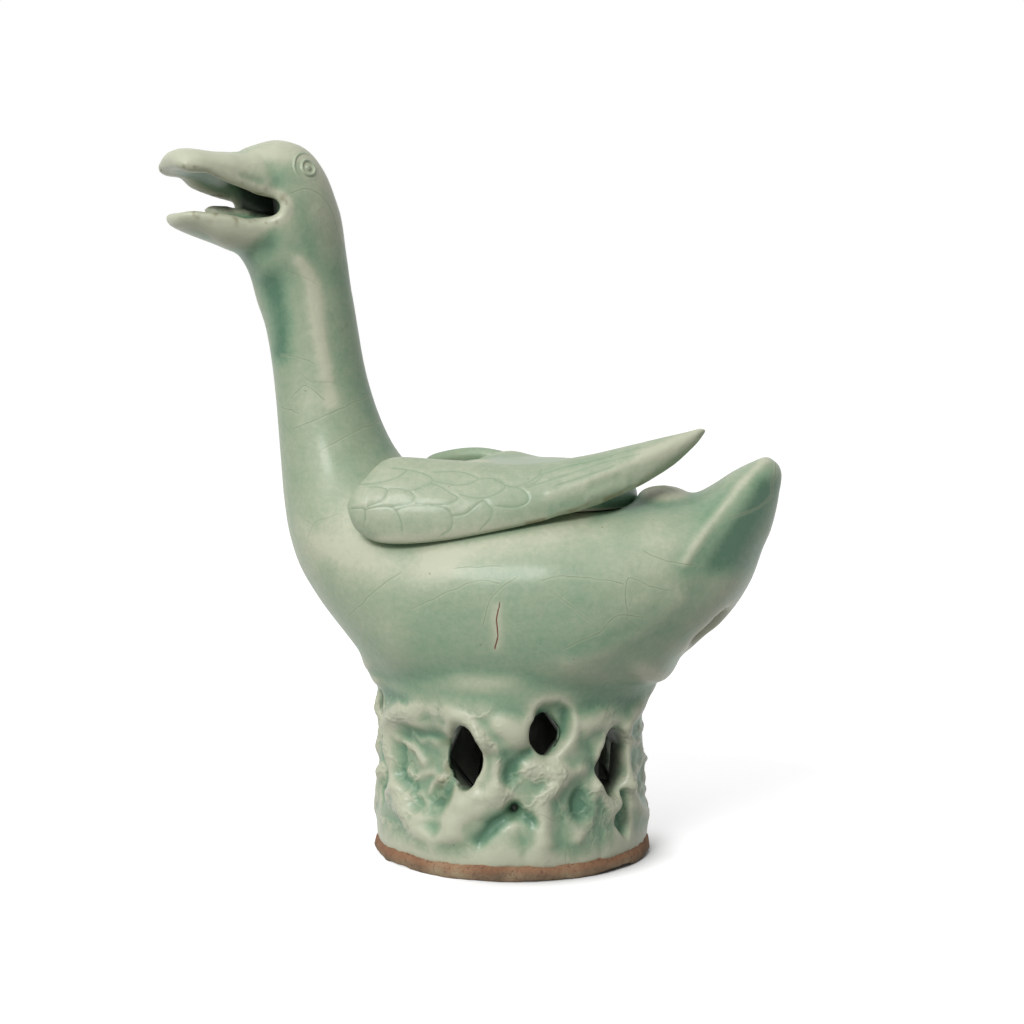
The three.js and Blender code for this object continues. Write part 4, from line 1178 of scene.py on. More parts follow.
specks = smoothstep(0.25, 0.6, noise(p + 90, 1.4))
blotches = smoothstep(-0.1, 0.5, noise(p + 25, 3.5))
x, y, z = p.T
on_mound = bell(np.hypot(x - 46, z - 109), 0, 4) * (np.abs(y) < 12)
cave = stroke_share(np.arctan2(y, x), z, [(251, 38), (249, 33), (250, 26)], 4.5)
iron = 0.75 * bell(from_lip, 0, 1.8) * specks * cheek * on_head
iron = iron + 0.3 * on_mound * specks + 0.5 * cave * blotches * on_rock
pin = math.radians(PINHOLE[0])
from_pin = np.hypot(y * math.cos(pin) - x * math.sin(pin), z - PINHOLE[1]) + 9 * (y > 0)
# Painted shade: the inner walls are dark, a little less in the bowl under the lid, and the pinhole
# gets a dark spot.
shade = inner * (1 - 0.15 * ((z > ROCK_TOP) & (z < 140)))
store(
    skin.data,
    pool=np.where(from_pin < 3.2, np.minimum(pool, 0.85), pool),
    inner=np.maximum(shade, smoothstep(1.7, 0.9, from_pin)),
    iron=np.clip(iron * outer, 0, 1),
    torn=on_rock * smoothstep(-0.35, 0.25, noise(p + 33, 15)) * smoothstep(6, 12, z))
print("pool from", round(float(pool.min()), 2), "to", round(float(pool.max()), 2))

# %% [markdown]
# Cracks in the glaze are finer than any net of faces. So each point keeps its signed distance from
# the nearest crack, and the material draws the line where that distance passes through zero, as
# thin as it likes. The long gash on the flank opened in the firing and shows the red clay.

# %% Crackle, gash and the edge of a thick patch on the tail
CRACKLE = [
    [(-65.8, 147.1), (-61.5, 146.8), (-57.8, 145.4)],
    [(-64.9, 133.5), (-62, 136.6), (-59.1, 138.7), (-54.5, 135.2)],
    [(-68.4, 131.9), (-62.3, 130.7)],
    [(-61.5, 126.3), (-51.5, 130.2), (-43.3, 135.1)],
    [(-51.6, 120.7), (-46.9, 123.5), (-41.3, 126.9)],
    [(-40.7, 73.5), (-36.5, 77), (-31.5, 81.8), (-25.1, 86.2)],
    [(-18.3, 77.9), (-11.6, 81.5), (-5.9, 83.9), (-0.3, 86), (4.6, 85.3)],
    [(1.2, 75), (2.8, 80.6), (5.6, 84), (8.8, 86.2)],
    [(18, 86.4), (24, 87.6), (34.4, 86.6), (39, 85.7)],
    [(40.4, 78.8), (39.9, 83.9), (41.1, 87.4), (46.5, 84.6), (50.5, 83.7)],
    [(22.3, 81.6), (26.5, 78.4), (29.7, 76.1)],
    [(-6.3, 89), (-2, 89.4), (4.2, 89.8)],
    [(45.5, 93.7), (50.2, 91.8), (56.8, 90.3)],
    [(24.2, 67.9), (33.2, 72.1), (36.4, 75.5), (39.1, 76.9), (43.8, 76.2)],
    [(77.5, 117.1), (77.9, 113.5), (77.3, 111.5), (76.9, 107.7), (73.9, 104.8), (68, 102.8)],
]
GASH = [(5.3, 78.7), (4.9, 75.2), (5.2, 71.8), (4.5, 67.9)]
HEAD_CRACK = [(-7.2, 194.8), (-2.1, 195.8), (4.7, 190.8), (8.5, 181.3), (10.1, 172.5)]

ragged = np.stack([noise(p + 8, 2.6), noise(p + 61, 2.6)], -1) * 0.35
across, up = x + ragged[:, 0], z + ragged[:, 1]
nearest, line_side = nearest_of(across, up, CRACKLE)
away, side = line_distance(b[:, 0] + ragged[:, 0], up, HEAD_CRACK)
on_cheek = (b[:, 1] < -3) & (z > 171) & (away < nearest)
line_side = np.where(on_cheek, side, line_side)
nearest = np.where(on_cheek, away, nearest)
here = smoothstep(1.9, 1.2, nearest) * (0.55 + 0.45 * near) * outer * (1 - on_rock)
away, side = line_distance(across, up, GASH)
store(
    skin.data, line_side=line_side, line_here=here, gash_side=side,
    gash_here=smoothstep(1.6, 1.0, away) * near * outer)
print("cracks:", len(CRACKLE) + 2, "lines")

# %% [markdown]
# The inner walls need few faces, and the rock and the cracks need many. A Decimate modifier thins
# each part by its share: 1 inside, 0.5 on the body, 0.15 on the head, and 0.05 on the rock and
# along the cracks.

# %% Thin the net of the inner walls
SKIN_TRIANGLES = 194000
values = np.maximum(inner, 0.5 - 0.35 * on_head - 0.45 * on_rock)
values = np.where(here + (nearest < 2) > 0.5, 0.05, values)
group = skin.vertex_groups.new(name="thinned")
for level in np.unique(np.round(values, 1)):
    chosen = np.flatnonzero(np.round(values, 1) == level)
    group.add(chosen.tolist(), float(level), "REPLACE")
thin = skin.modifiers.new("thin_inside", "DECIMATE")
thin.ratio = min(1.0, SKIN_TRIANGLES / triangle_count(skin.data))
thin.vertex_group = "thinned"
thin.vertex_group_factor = 1.0
bpy.context.view_layer.update()
baked(skin)
skin.vertex_groups.clear()
print("skin:", triangle_count(skin.data), "triangles")

# %% [markdown]
# ## The foot
# The bare clay shows below the glaze. It is a low ring, rough where it was wiped and chipped a
# little along its lower edge. A profile carried round the oval makes it.


# %% Foot ring
def foot_grid(around=420):
    """A closed profile (outside up, over the top, inside down) carried round the oval, with noise
    that roughens the outside and lifts the lower edge."""
    outside = [(0.7, 0), (0.2, 0.15), (0, 0.6), (0, 1.4), (0.1, 2.3), (0.4, 3.2), (1.1, 4.2),
               (1.5, 5.2)]
    inside = [(FOOT_WALL - 0.4, 5.2), (FOOT_WALL - 0.2, 3), (FOOT_WALL - 0.2, 0.6),
              (FOOT_WALL - 0.9, 0)]
    profile = np.array(outside + inside)
    angle = ring_angles(around)[None, :]
    inwards, z = profile[:, 0:1], profile[:, 1:2]
    shape = np.stack([
        (ROCK_LENGTH - inwards) * np.cos(angle),
        (ROCK_WIDTH - inwards) * np.sin(angle),
        z + 0 * angle], -1)
    rough = 0.22 * noise(shape, 5.0) + 0.16 * noise(shape, 1.6)
    outwards = np.stack([np.cos(angle) + 0 * z, np.sin(angle) + 0 * z, 0 * angle + 0 * z], -1)
    flat = shape * [1, 1, 0]
    chip = np.clip(noise(flat, 9.0), 0, 1) + 0.3 * np.clip(noise(flat, 2.6), 0, 1)
    shape = shape - outwards * (0.15 + rough)[..., None] * (inwards < 2)[..., None]
    shape[..., 2] += 1.1 * chip * (1 - smoothstep(0.0, 1.4, z))
    return shape


def closed_ring(name, grid):
    """Skin over a grid that closes both ways, as a ring does."""
    profile, around = grid.shape[:2]
    faces = skin_faces(profile + 1, around)
    faces = np.where(faces >= profile * around, faces - profile * around, faces).tolist()
    return add_piece(name, grid.reshape(-1, 3), faces)


foot = closed_ring("foot_clay", foot_grid())
x, y, z = net_of(foot.data)[0].T
under = glaze_line(np.arctan2(y, x)) - z
store(foot.data, singed=bell(np.maximum(under, 0), 0, 0.8))
print("foot:", len(foot.data.polygons), "faces")

# %% [markdown]
# ## Eyes
# Each eye was pressed with a small stamp: a bead, a groove and a ring, with a brow arching over
# them. One disc with a height profile follows the curve of the cheek, and its rim dips under the
# skin so that no edge shows.

# %% Eyes
EYE_PLACE = (-1.7, 202.1)
EYE_RADIUS = 6.0
EYE_DEPTH = 1.3


def head_half_width(x, z):
    """Half-width of the head at a place: width * (1 - |share|^square)^(1 / square)."""
    t = np.interp(z, [row[0] for row in HEAD], np.arange(len(HEAD)))
    _, front, back, width = np.moveaxis(flow(HEAD, t), -1, 0)
    share = np.abs((x - (front + back) / 2) / ((back - front) / 2))
    return width * np.maximum(0, 1 - share**HEAD_SQUARE) ** (1 / HEAD_SQUARE)


def eye_height(r, angle):
    """Bead + ring - two grooves + brow, as bells of the radius; the brow only above and in
    front."""
    bead = 0.45 * bell(r, 0, 0.9, 4) + 0.45 * bell(r, 2.2, 0.5)
    grooves = 0.2 * bell(r, 1.45, 0.35) + 0.16 * bell(r, 3.1, 0.45)
    around = bell(np.angle(np.exp(1j * (angle - 2.6))), 0, 0.85)
    brow = 0.4 * bell(r, 4.6, 0.5) - 0.2 * bell(r, 3.8, 0.35)
    return bead - grooves + around * brow + 0.02 - 0.12 * smoothstep(3.4, EYE_RADIUS, r)


def eye_grid(side):
    """Rings of growing radius laid on the cheek's formula, and back again underneath; with the
    direction square to the cheek and the height that each point gets."""
    upper, lower = np.linspace(0.05, EYE_RADIUS, 60), np.linspace(EYE_RADIUS, 0.05, 12)
    r = np.concatenate([upper, lower])[:, None]
    under = np.concatenate([0 * upper, 0 * lower + 1])[:, None]
    angle = ring_angles(96)[None, :]
    x = EYE_PLACE[0] + r * np.cos(angle)
    z = EYE_PLACE[1] + r * np.sin(angle)
    step = 0.2
    slope_x = (head_half_width(x + step, z) - head_half_width(x - step, z)) / (2 * step)
    slope_z = (head_half_width(x, z + step) - head_half_width(x, z - step)) / (2 * step)
    normal = np.stack([-slope_x, np.ones_like(slope_x), -slope_z], -1)
    normal /= np.linalg.norm(normal, axis=-1, keepdims=True)
    place = np.stack([x, head_half_width(x, z), z], -1)
    place[..., 1] *= side
    normal[..., 1] *= side
    height = np.where(under > 0, -EYE_DEPTH + 0 * angle, eye_height(r, angle))
    outwards = turn_head(place + normal) - turn_head(place)
    return turn_head(place), outwards, height


def wrapped(piece, target):
    """Moves each point of the piece to the nearest place on the target's skin."""
    step = piece.modifiers.new("wrap", "SHRINKWRAP")
    step.target = target
    step.wrap_method = "NEAREST_SURFACEPOINT"
    bpy.context.view_layer.update()
    baked(piece)


eyes = []
for side, name in ((-1, "left_eye"), (1, "right_eye")):
    grid, outwards, height = eye_grid(side)
    eye = loft(name, grid)
    wrapped(eye, skin)
    lift = np.vstack([
        (outwards * height[..., None]).reshape(-1, 3), outwards[0, 0] * 0.6,
        outwards[-1, 0] * -EYE_DEPTH])
    put_back(eye.data, net_of(eye.data)[0] + lift)
    hollow = hollowness(*net_of(eye.data), 8)
    store(eye.data, pool=np.clip(0.38 + 2.2 * hollow, 0.1, 0.8))
    eyes.append(eye)
print("eyes:", [eye.name for eye in eyes])

# %% [markdown]
# ## Wings
# The feathers were incised in the leather-hard clay: a few rows of loose scales near the shoulder,
# and long flight feathers towards the tip. The wing is a loft across its lower and upper edges,
# fine enough for the lines to be real grooves. The lines are drawn on it: each place is the
# travel from the shoulder and the height over the wing's middle line, in millimetres.

# %% Lines of the feathers
SCALES = [
    [(3.2, 5.3), (7.3, 3.7), (10.9, 3.4), (14.9, 4.6), (17.2, 6.9)],
    [(13.1, 8), (17.5, 7.2), (22.1, 5.6), (24.6, 3.8), (24.3, 1.9), (20.7, 0.6), (17.5, 0)],
    [(25.3, 6.2), (32, 6), (35.9, 4.2), (37.5, 2.8), (35.5, 1.4), (31.6, 1), (25.7, 2.7)],
    [(38.3, 2.8), (42.3, 2.4), (45.3, 0), (45, -2), (41.5, -3.4), (37.5, -3.5), (33.2, -2.2)],
    [(42.3, 1.7), (47.6, -1.2), (52, -0.5), (54.6, 1.2), (55, 3.3)],
    [(46.5, -0.9), (50.6, -2.5), (52.8, -4.9), (52.4, -6.6), (49.1, -7.2), (44.2, -6.4)],
    [(6.4, 2.9), (11.7, 1), (11.9, -0.6), (10.4, -2.6), (6.6, -2.9)],
    [(12.2, 1), (16.5, 0.6), (19.6, -1.1), (19.9, -2.3), (18.5, -3.9), (13.4, -4.5)],
    [(20.3, 0), (24.6, 1.9), (27.5, 0.6), (30.1, -1.5), (32.4, -3), (30.5, -4.4), (26.1, -4.9),
     (20.7, -3.9)],
    [(2.7, -2.2), (5.4, -3.2), (5.9, -5.8), (5.8, -6.6)],
    [(5.9, -3.7), (9.9, -4), (14, -4.9), (16.2, -8.4), (16.5, -10.8)],
    [(14.6, -5.6), (19.2, -4.6), (24.6, -4.9), (29.3, -6.1), (30.9, -8.6), (30.5, -11),
     (27.9, -12.2)],
    [(31.2, -8), (35.1, -7.5), (39.5, -4.4), (41.5, -6), (42.7, -7.9), (41.5, -9.8), (39.5, -11.2)],
]
FLIGHTS = [
    [(51.7, -1.5), (54.6, -0.8), (55.7, 1.2), (55, 2.4)],
    [(55.7, 1.5), (62.9, 2.8), (71.6, 2.5), (79.8, 2.8), (87.8, 1.6)],
    [(58.6, -0.8), (67.8, 0), (74.3, 0.6), (84.3, 0)],
    [(52.4, -2.2), (59.7, -1.1), (65, -0.7)],
    [(61.5, -3.3), (70.2, -2.5), (77, -1.8)],
]
# Ridges and dents: amount, half-width, places
WING_FORM = [
    (0.2, 1.4, [(59.3, -5.6), (68.5, -4.6), (76.3, -3.4), (84.6, -1.9), (93.4, -1)]),
    (-0.35, 1.5, [(71.6, -5.7), (75, -5.1), (78.3, -5)]),
    (0.3, 1.2, [(62.9, -9.6), (70.9, -8.6), (76.7, -7.8), (80.8, -7.2)]),
    (-0.3, 1.0, [(63.2, -9), (66, -8.2), (68.8, -8.2)]),
]
WING_PAINT = [
    (-0.2, 1.6, [(10, -12.5), (25, -13), (45, -11.5), (60, -10.5), (80, -7)]),
    (-0.1, 1.4, [(59.3, -5.6), (68.5, -4.6), (76.3, -3.4), (84.6, -1.9), (93.4, -1)]),
    (0.12, 2.2, [(58, 3), (72, 2.5), (88, 1.5)]),
    (0.3, 1.5, [(60, -9.6), (66, -9), (73, -8.2), (81, -7.2)]),
    (-0.35, 3.0, [(86, 0), (96, 0), (104, 1.2)]),
    (0.08, 6.0, [(20, 2), (36, -1), (50, -3)]),
]


print(len(SCALES), "scales and", len(FLIGHTS), "flight lines")

# %% Stations of a wing
# lower edge x y z, upper edge x y z, thickness
WING = [
    (-40.4, -34.4, 103.0, -40.0, -33.2, 107.2, 2.8),
    (-36.9, -37.2, 98.7, -36.4, -31.0, 112.9, 5.2),
    (-28.4, -38.2, 95.8, -30.0, -26.2, 118.9, 6.2),
    (-12.0, -38.0, 97.2, -14.0, -23.2, 118.4, 6.4),
    (6.0, -35.0, 100.8, 6.0, -20.4, 117.5, 6.2),
    (23.0, -30.4, 105.4, 24.0, -17.0, 119.3, 6.2),
    (39.0, -23.4, 111.1, 38.6, -13.6, 122.5, 6.6),
    (50.0, -15.6, 117.3, 50.4, -10.2, 125.2, 5.6),
    (58.0, -9.8, 125.2, 58.5, -8.4, 127.2, 2.4),
]
# The right wing ends further forward and its upper edge runs lower: both in millimetres
RIGHT_FORWARD = [0, 0, 0, 0, 0, 0.5, 2, 4, 5]
RIGHT_LOWER = [0, 1.8, 2.2, -0.5, 3.0, 5.0, 4.0, 3.0, 3.0]
WING_CAMBER = 3
WING_SQUARE = 2.3
GROOVE = 0.36
GROOVE_DEPTH = 0.12


def wing_rows(side):
    """The stations of the left wing (side -1) or the right one (side 1), both on the left."""
    rows = np.array(WING)
    if side > 0:
        rows[:, [0, 3]] -= np.array(RIGHT_FORWARD)[:, None]
        rows[:, 5] -= RIGHT_LOWER
        rows[-1, 2] -= RIGHT_LOWER[-1]
    return rows


def wing_grid(side, steps=480, around=200):
    """Ring t: middle + half * cos + out * (thickness / 2 * sin + camber * (1 - cos^2)
    - camber / 2), drawn in at both ends like a ball's rings, with the lines pressed into the
    outer face."""
    rows = wing_rows(side)
    u = np.linspace(0, 1, steps)
    t = (len(rows) - 1) * (u - 0.4 / (2 * np.pi) * np.sin(2 * np.pi * u))
    row = flow(rows, t)
    change = flow(rows, t + 0.05) - flow(rows, t - 0.05)
    low, high = row[:, 0:3], row[:, 3:6]
    half = (high - low) / 2
    out = np.cross(half, change[:, 0:3] + change[:, 3:6])
    out /= np.linalg.norm(out, axis=1, keepdims=True)
    out *= np.where(out[:, 1:2] > 0, -1, 1)
    span = np.linalg.norm(half, axis=1)
    camber = (WING_CAMBER * np.minimum(1, span / 10))[:, None]
    up, across = superellipse(ring_angles(around)[None, :], WING_SQUARE)
    middle = (low + high) / 2
    steps_along = np.linalg.norm(np.diff(middle, axis=0), axis=1)
    travel = np.concatenate([[0], np.cumsum(steps_along)])
    end = np.maximum(1 - travel / 2.2, 1 - (travel[-1] - travel) / 3)
    drawn_in = np.sqrt(1.0004 - np.clip(end, 0, 1) ** 2)[:, None]
    lift = row[:, 6:7] / 2 * across * drawn_in + camber * (1 - up * up) - camber / 2
    in_front = smoothstep(62, 40, travel)[:, None] * smoothstep(3, 12, travel)[:, None]
    lift = lift + 2.6 * np.minimum(across, 0) * smoothstep(-0.1, 0.6, up) * in_front
    grid = (middle[:, None] + half[:, None] * (up * drawn_in)[..., None]
            + out[:, None] * lift[..., None])
    place, height = travel[:, None] + 0 * up, up * span[:, None]
    face = smoothstep(0.0, 0.35, across)
    nearest, line_side = nearest_of(place, height, SCALES + FLIGHTS)
    groove = bell(nearest, 0, GROOVE) * smoothstep(104, 60, place)
    line_here = 0.6 * smoothstep(1.6, 1.0, nearest) * face * smoothstep(104, 40, place)
    form = painted(place, height, WING_FORM)
    relief = (-GROOVE_DEPTH * groove + 0.05 * np.tanh(line_side) * line_here + form) * face
    rough = 0.2 * noise(grid, 13) + 0.08 * noise(grid, 4)
    ragged = bell(up, -1, 0.25) * smoothstep(50, 62, place) * smoothstep(96, 84, place)
    rough += ragged * 0.7 * noise(grid, 5)
    grid = grid + out[:, None] * (relief + rough)[..., None]
    grid[..., 1] *= 1 if side < 0 else -1
    glaze_depth = 0.37 + (0.08 * groove + painted(place, height, WING_PAINT)) * face
    rust = bell(up, -1, 0.02) * smoothstep(40, 50, place) * smoothstep(92, 80, place)
    rust = rust * smoothstep(-0.2, 0.5, noise(grid, 3))
    return grid, {
        "pool": glaze_depth, "iron": 0.8 * rust, "line_side": line_side, "line_here": line_here}


wings = []
for side, name in ((-1, "left_wing_feathers"), (1, "right_wing_feathers")):
    grid, kept = wing_grid(side)
    wing = loft(name, grid)
    broad = hollowness(*net_of(wing.data), 60)
    for value, numbers in kept.items():
        kept[value] = np.concatenate([numbers.ravel(), numbers[0, :1], numbers[-1, :1]])
    # The right wing, the far one, is painted 0.18 greener as shade.
    kept["pool"] = np.clip(kept["pool"] + 0.9 * broad + 0.09 * (side + 1), 0, 1)
    store(wing.data, **kept)
    wings.append(wing)
    print(name, len(wing.data.polygons), "faces")

# %% [markdown]
# ## The lid's back and flange
# Between the wings lies the domed back, hollow underneath. One loft runs from the top of the
# outside down over the rim, and up again to the top of the hollow, so the clay has a real wall. The
# flange below drops into the opening and keeps the lid in place; its clay is bare.

# %% Back and flange of the lid
LID_CLEARANCE = 0.8
LID_RISE = 12.6
LID_WALL = 4.5
LID_REACH = 4
FLANGE_DEPTH = 6
FLANGE_WALL = 3.4
SEAM = 0.3


def back_grid():
    """Ovals of the dome's outside, from its top down, then of its hollow, from the rim up. A low
    bank of clay, a bell across y, joins the dome to the wings."""
    length = MOUTH_LENGTH + LAND_WIDTH - LID_CLEARANCE
    width = MOUTH_WIDTH + LAND_WIDTH + LID_REACH
    base = SEAT_HEIGHT + SEAM
    inner_length = MOUTH_LENGTH - LID_CLEARANCE - FLANGE_WALL
    inner_width = MOUTH_WIDTH - LID_CLEARANCE - FLANGE_WALL
    top = LID_RISE - LID_WALL
    outside = [
        (base + LID_RISE, 0.5, 0.4), (base + LID_RISE, length * 0.42, width * 0.46),
        (base + LID_RISE * 0.94, length * 0.7, width * 0.74),
        (base + LID_RISE * 0.78, length * 0.87, width * 0.9),
        (base + LID_RISE * 0.5, length * 0.96, width * 0.97),
        (base + LID_RISE * 0.2, length, width), (base, length - 1, width - 1)]
    hollow = [
        (base, inner_length, inner_width),
        (base + LID_RISE * 0.3, inner_length * 0.96, inner_width * 0.96),
        (base + top * 0.85, inner_length * 0.7, inner_width * 0.7),
        (base + top, inner_length * 0.3, inner_width * 0.3), (base + top, 0.5, 0.4)]
    fine = np.vstack([
        flow(outside, np.linspace(0, len(outside) - 1, 70)),
        flow(hollow, np.linspace(0, len(hollow) - 1, 40))])
    grid = oval_rings(fine, 200)
    strip = bell(np.abs(grid[..., 1]), 20.5, 4)
    strip = strip * smoothstep(-30, -20, grid[..., 0]) * smoothstep(6, -6, grid[..., 0])
    grid[:70, :, 2] += 2.4 * strip[:70] * smoothstep(base + 4, base + 9, grid[:70, :, 2])
    return grid


back = loft("lid_back", back_grid())
p, edges, normals = net_of(back.data)
# Painted shade: the rear of the lid's back, under the wing tips, is made greener.
shaded = 0.6 * smoothstep(24, 32, p[:, 0]) * smoothstep(114, 108, p[:, 2])
hollow = hollowness(p, edges, normals, 40)
store(back.data, pool=np.clip(0.4 + 0.5 * hollow + shaded, 0, 1))

flange_out = MOUTH_LENGTH - LID_CLEARANCE, MOUTH_WIDTH - LID_CLEARANCE
flange_in = flange_out[0] - FLANGE_WALL, flange_out[1] - FLANGE_WALL
flange_top, flange_low = SEAT_HEIGHT + SEAM, SEAT_HEIGHT - FLANGE_DEPTH
flange = closed_ring("lid_flange", oval_rings([
    (flange_top, *flange_out), (flange_low + 0.6, *flange_out),
    (flange_low, flange_out[0] - 0.8, flange_out[1] - 0.8),
    (flange_low, flange_in[0] + 0.8, flange_in[1] + 0.8),
    (flange_low + 0.6, *flange_in), (flange_top, *flange_in)], 160))
print("lid back and flange modelled")

# %% [markdown]
# ## Glaze
# A celadon glaze is a layer of green glass over pale clay. It runs off ridges, which look cream,
# and pools in hollows, which look deep green. The kept value of glaze depth and painted shade on
# each point drives that, noise in four sizes mottles it, and thin pale crests break it up on the
# torn rock. The kept lines and stains lie on top, the inner walls are painted near black as shade,
# and a thin clear coat gives the gloss.


# %% Node helpers
class Nodes:
    """Adds nodes to one tree. A value that is a socket is linked, and any other one is set."""

    def __init__(self, tree):
        self.tree = tree
        tree.nodes.clear()

    def add(self, kind, sockets=None, **settings):
        node = self.tree.nodes.new(kind)
        for name, value in settings.items():
            setattr(node, name, value)
        for key, value in (sockets or {}).items():
            if isinstance(value, bpy.types.NodeSocket):
                self.tree.links.new(value, node.inputs[key])
            else:
                node.inputs[key].default_value = value
        return node

    def maths(self, operation, *values):
        return self.add("ShaderNodeMath", dict(enumerate(values)), operation=operation).outputs[0]

    def times(self, a, b):
        return self.maths("MULTIPLY", a, b)

    def mix(self, share, low, high):
        """Colour between low and high by the share."""
        return self.add("ShaderNodeMix", {0: share, 6: low, 7: high}, data_type="RGBA").outputs[2]

    def ramp(self, share, stops):
        """A colour ramp with (place, colour) stops."""
        node = self.add("ShaderNodeValToRGB", {"Fac": share})
        elements = node.color_ramp.elements
        while len(elements) < len(stops):
            elements.new(0.5)
        for element, (place, colour) in zip(elements, stops):
            element.position = place
            element.color = colour
        return node.outputs["Color"]

    def noise(self, coordinates, scale, detail=3.0, rough=0.55):
        return self.add("ShaderNodeTexNoise", {
            "Vector": coordinates, "Scale": scale, "Detail": detail, "Roughness": rough,
        }).outputs["Fac"]

    def soft(self, value, low, high, to_low=0.0, to_high=1.0):
        """Smoothstep of the value between low and high, from to_low to to_high."""
        return self.add("ShaderNodeMapRange", {
            "Value": value, "From Min": low, "From Max": high, "To Min": to_low,
            "To Max": to_high}, interpolation_type="SMOOTHSTEP").outputs["Result"]

    def line(self, value, low, high, strength=1.0):
        """The strength up to low, nothing from high on: a line where the value is near zero."""
        return self.soft(value, low, high, strength, 0.0)

    def kept(self, name):
        """The number of that name that the mesh keeps for each point."""
        return self.add("ShaderNodeAttribute", attribute_name=name).outputs["Fac"]

    def place(self):
        return self.add("ShaderNodeTexCoord").outputs["Object"]

    def bump(self, strength, distance, height, **sockets):
        return self.add("ShaderNodeBump", {
            "Strength": strength, "Distance": distance, "Height": height, **sockets,
        }).outputs["Normal"]

    def surface(self, shader, kind="Material"):
        self.add("ShaderNodeOutput" + kind, {"Surface": shader})


def new_material(name):
    material = bpy.data.materials.new(name)
    material.use_nodes = True
    return material, Nodes(material.node_tree)


# %% Celadon
CREAM = (0.52, 0.54, 0.40, 1)
PALE = (0.345, 0.415, 0.285, 1)
GREEN = (0.22, 0.335, 0.215, 1)
DEEP = (0.085, 0.19, 0.115, 1)
CRACK = (0.16, 0.22, 0.12, 1)
LINE_EDGE = (0.43, 0.5, 0.35, 1)
LINE = (0.15, 0.2, 0.1, 1)
SPECK = (0.16, 0.12, 0.06, 1)
IRON = (0.19, 0.16, 0.07, 1)
RED_CLAY = (0.13, 0.035, 0.012, 1)
# Painted shade for the inner walls, the throat and the rock's holes
INSIDE_SHADE = (0.022, 0.032, 0.022, 1)


def celadon(name, crackle=1.0):
    """The glaze; crackle is the strength of its fine net of cracks."""
    material, n = new_material(name)
    place = n.place()
    line_here = n.kept("line_here")
    streaks = n.add("ShaderNodeMapping", {
        "Vector": place, "Scale": (26, 26, 240)}).outputs["Vector"]
    varied = n.kept("pool")
    for pattern, amount in (
            (n.noise(place, 24, 4), 0.36), (n.noise(place, 110, 3), 0.22),
            (n.noise(place, 560, 3, 0.7), 0.34), (n.noise(streaks, 1, 3), 0.1)):
        varied = n.maths("MULTIPLY_ADD", n.maths("SUBTRACT", pattern, 0.5), amount, varied)
    crease = n.maths("ABSOLUTE", n.maths("SUBTRACT", n.noise(place, 90, 3, 0.6), 0.5))
    crest = n.times(n.line(crease, 0.0, 0.06), n.kept("torn"))
    varied = n.maths("MULTIPLY_ADD", crest, -0.26, varied)
    colour = n.ramp(varied, [(0.08, CREAM), (0.36, PALE), (0.62, GREEN), (0.98, DEEP)])
    warp = n.add("ShaderNodeTexNoise", {"Vector": place, "Scale": 60.0}).outputs["Color"]
    bent = n.add("ShaderNodeMix", {0: 0.012, 4: place, 5: warp}, data_type="VECTOR").outputs[1]
    edge = n.add("ShaderNodeTexVoronoi", {"Vector": bent, "Scale": 62.0},
                 feature="DISTANCE_TO_EDGE").outputs["Distance"]
    patchy = n.soft(n.noise(place, 40, 2), 0.52, 0.64)
    net = n.times(n.line(edge, 0.0, 0.02), patchy)
    colour = n.mix(n.times(net, 0.25 * crackle), colour, CRACK)
    away = n.maths("ABSOLUTE", n.kept("line_side"))
    drawn = n.times(n.line(away, 0.03, 0.22, 0.5), line_here)
    beside = n.times(n.line(away, 0.2, 0.8, 0.3), line_here)
    colour = n.mix(beside, colour, LINE_EDGE)
    colour = n.mix(drawn, colour, LINE)
    speck = n.add("ShaderNodeTexVoronoi", {"Vector": place, "Scale": 130.0}).outputs["Distance"]
    colour = n.mix(n.line(speck, 0.02, 0.05, 0.55), colour, SPECK)
    colour = n.mix(n.times(n.kept("iron"), 0.8), colour, IRON)
    open_clay = n.line(n.maths("ABSOLUTE", n.kept("gash_side")), 0.1, 0.3)
    gash = n.times(open_clay, n.kept("gash_here"))
    colour = n.mix(gash, colour, RED_CLAY)
    # The inner walls are painted near black as shade.
    colour = n.mix(n.times(n.kept("inner"), 0.94), colour, INSIDE_SHADE)
    grain = n.noise(place, 700, 2)
    swell = n.maths("MULTIPLY_ADD", grain, 0.3, n.noise(place, 230, 2))
    cuts = n.maths("ADD", n.times(net, 0.2), n.maths("ADD", drawn, gash))
    bump = n.bump(0.2, 0.0012, n.maths("SUBTRACT", swell, n.times(cuts, 0.4)))
    bump = n.bump(0.35, 0.0009, crest, Normal=bump)
    gloss = n.add("ShaderNodeBsdfPrincipled", {
        "Base Color": colour, "Roughness": 0.5, "Specular IOR Level": 0.35, "Normal": bump,
        "Coat Weight": 0.22, "Coat Roughness": 0.2, "Coat IOR": 1.5})
    n.surface(gloss.outputs["BSDF"])
    return material


glaze = celadon("celadon_glaze")
wing_glaze = celadon("celadon_feathers", 0.25)
print("glazes mixed")

# %% [markdown]
# Bare stoneware is matt and sandy, grey buff here, and it burns orange in a thin line where the
# glaze ends.


# %% Bare clay
SANDS = [
    (0.34, (0.13, 0.09, 0.055, 1)), (0.5, (0.24, 0.165, 0.1, 1)), (0.66, (0.34, 0.27, 0.17, 1))]
BURNT = (0.33, 0.12, 0.05, 1)
PIT = (0.08, 0.045, 0.03, 1)


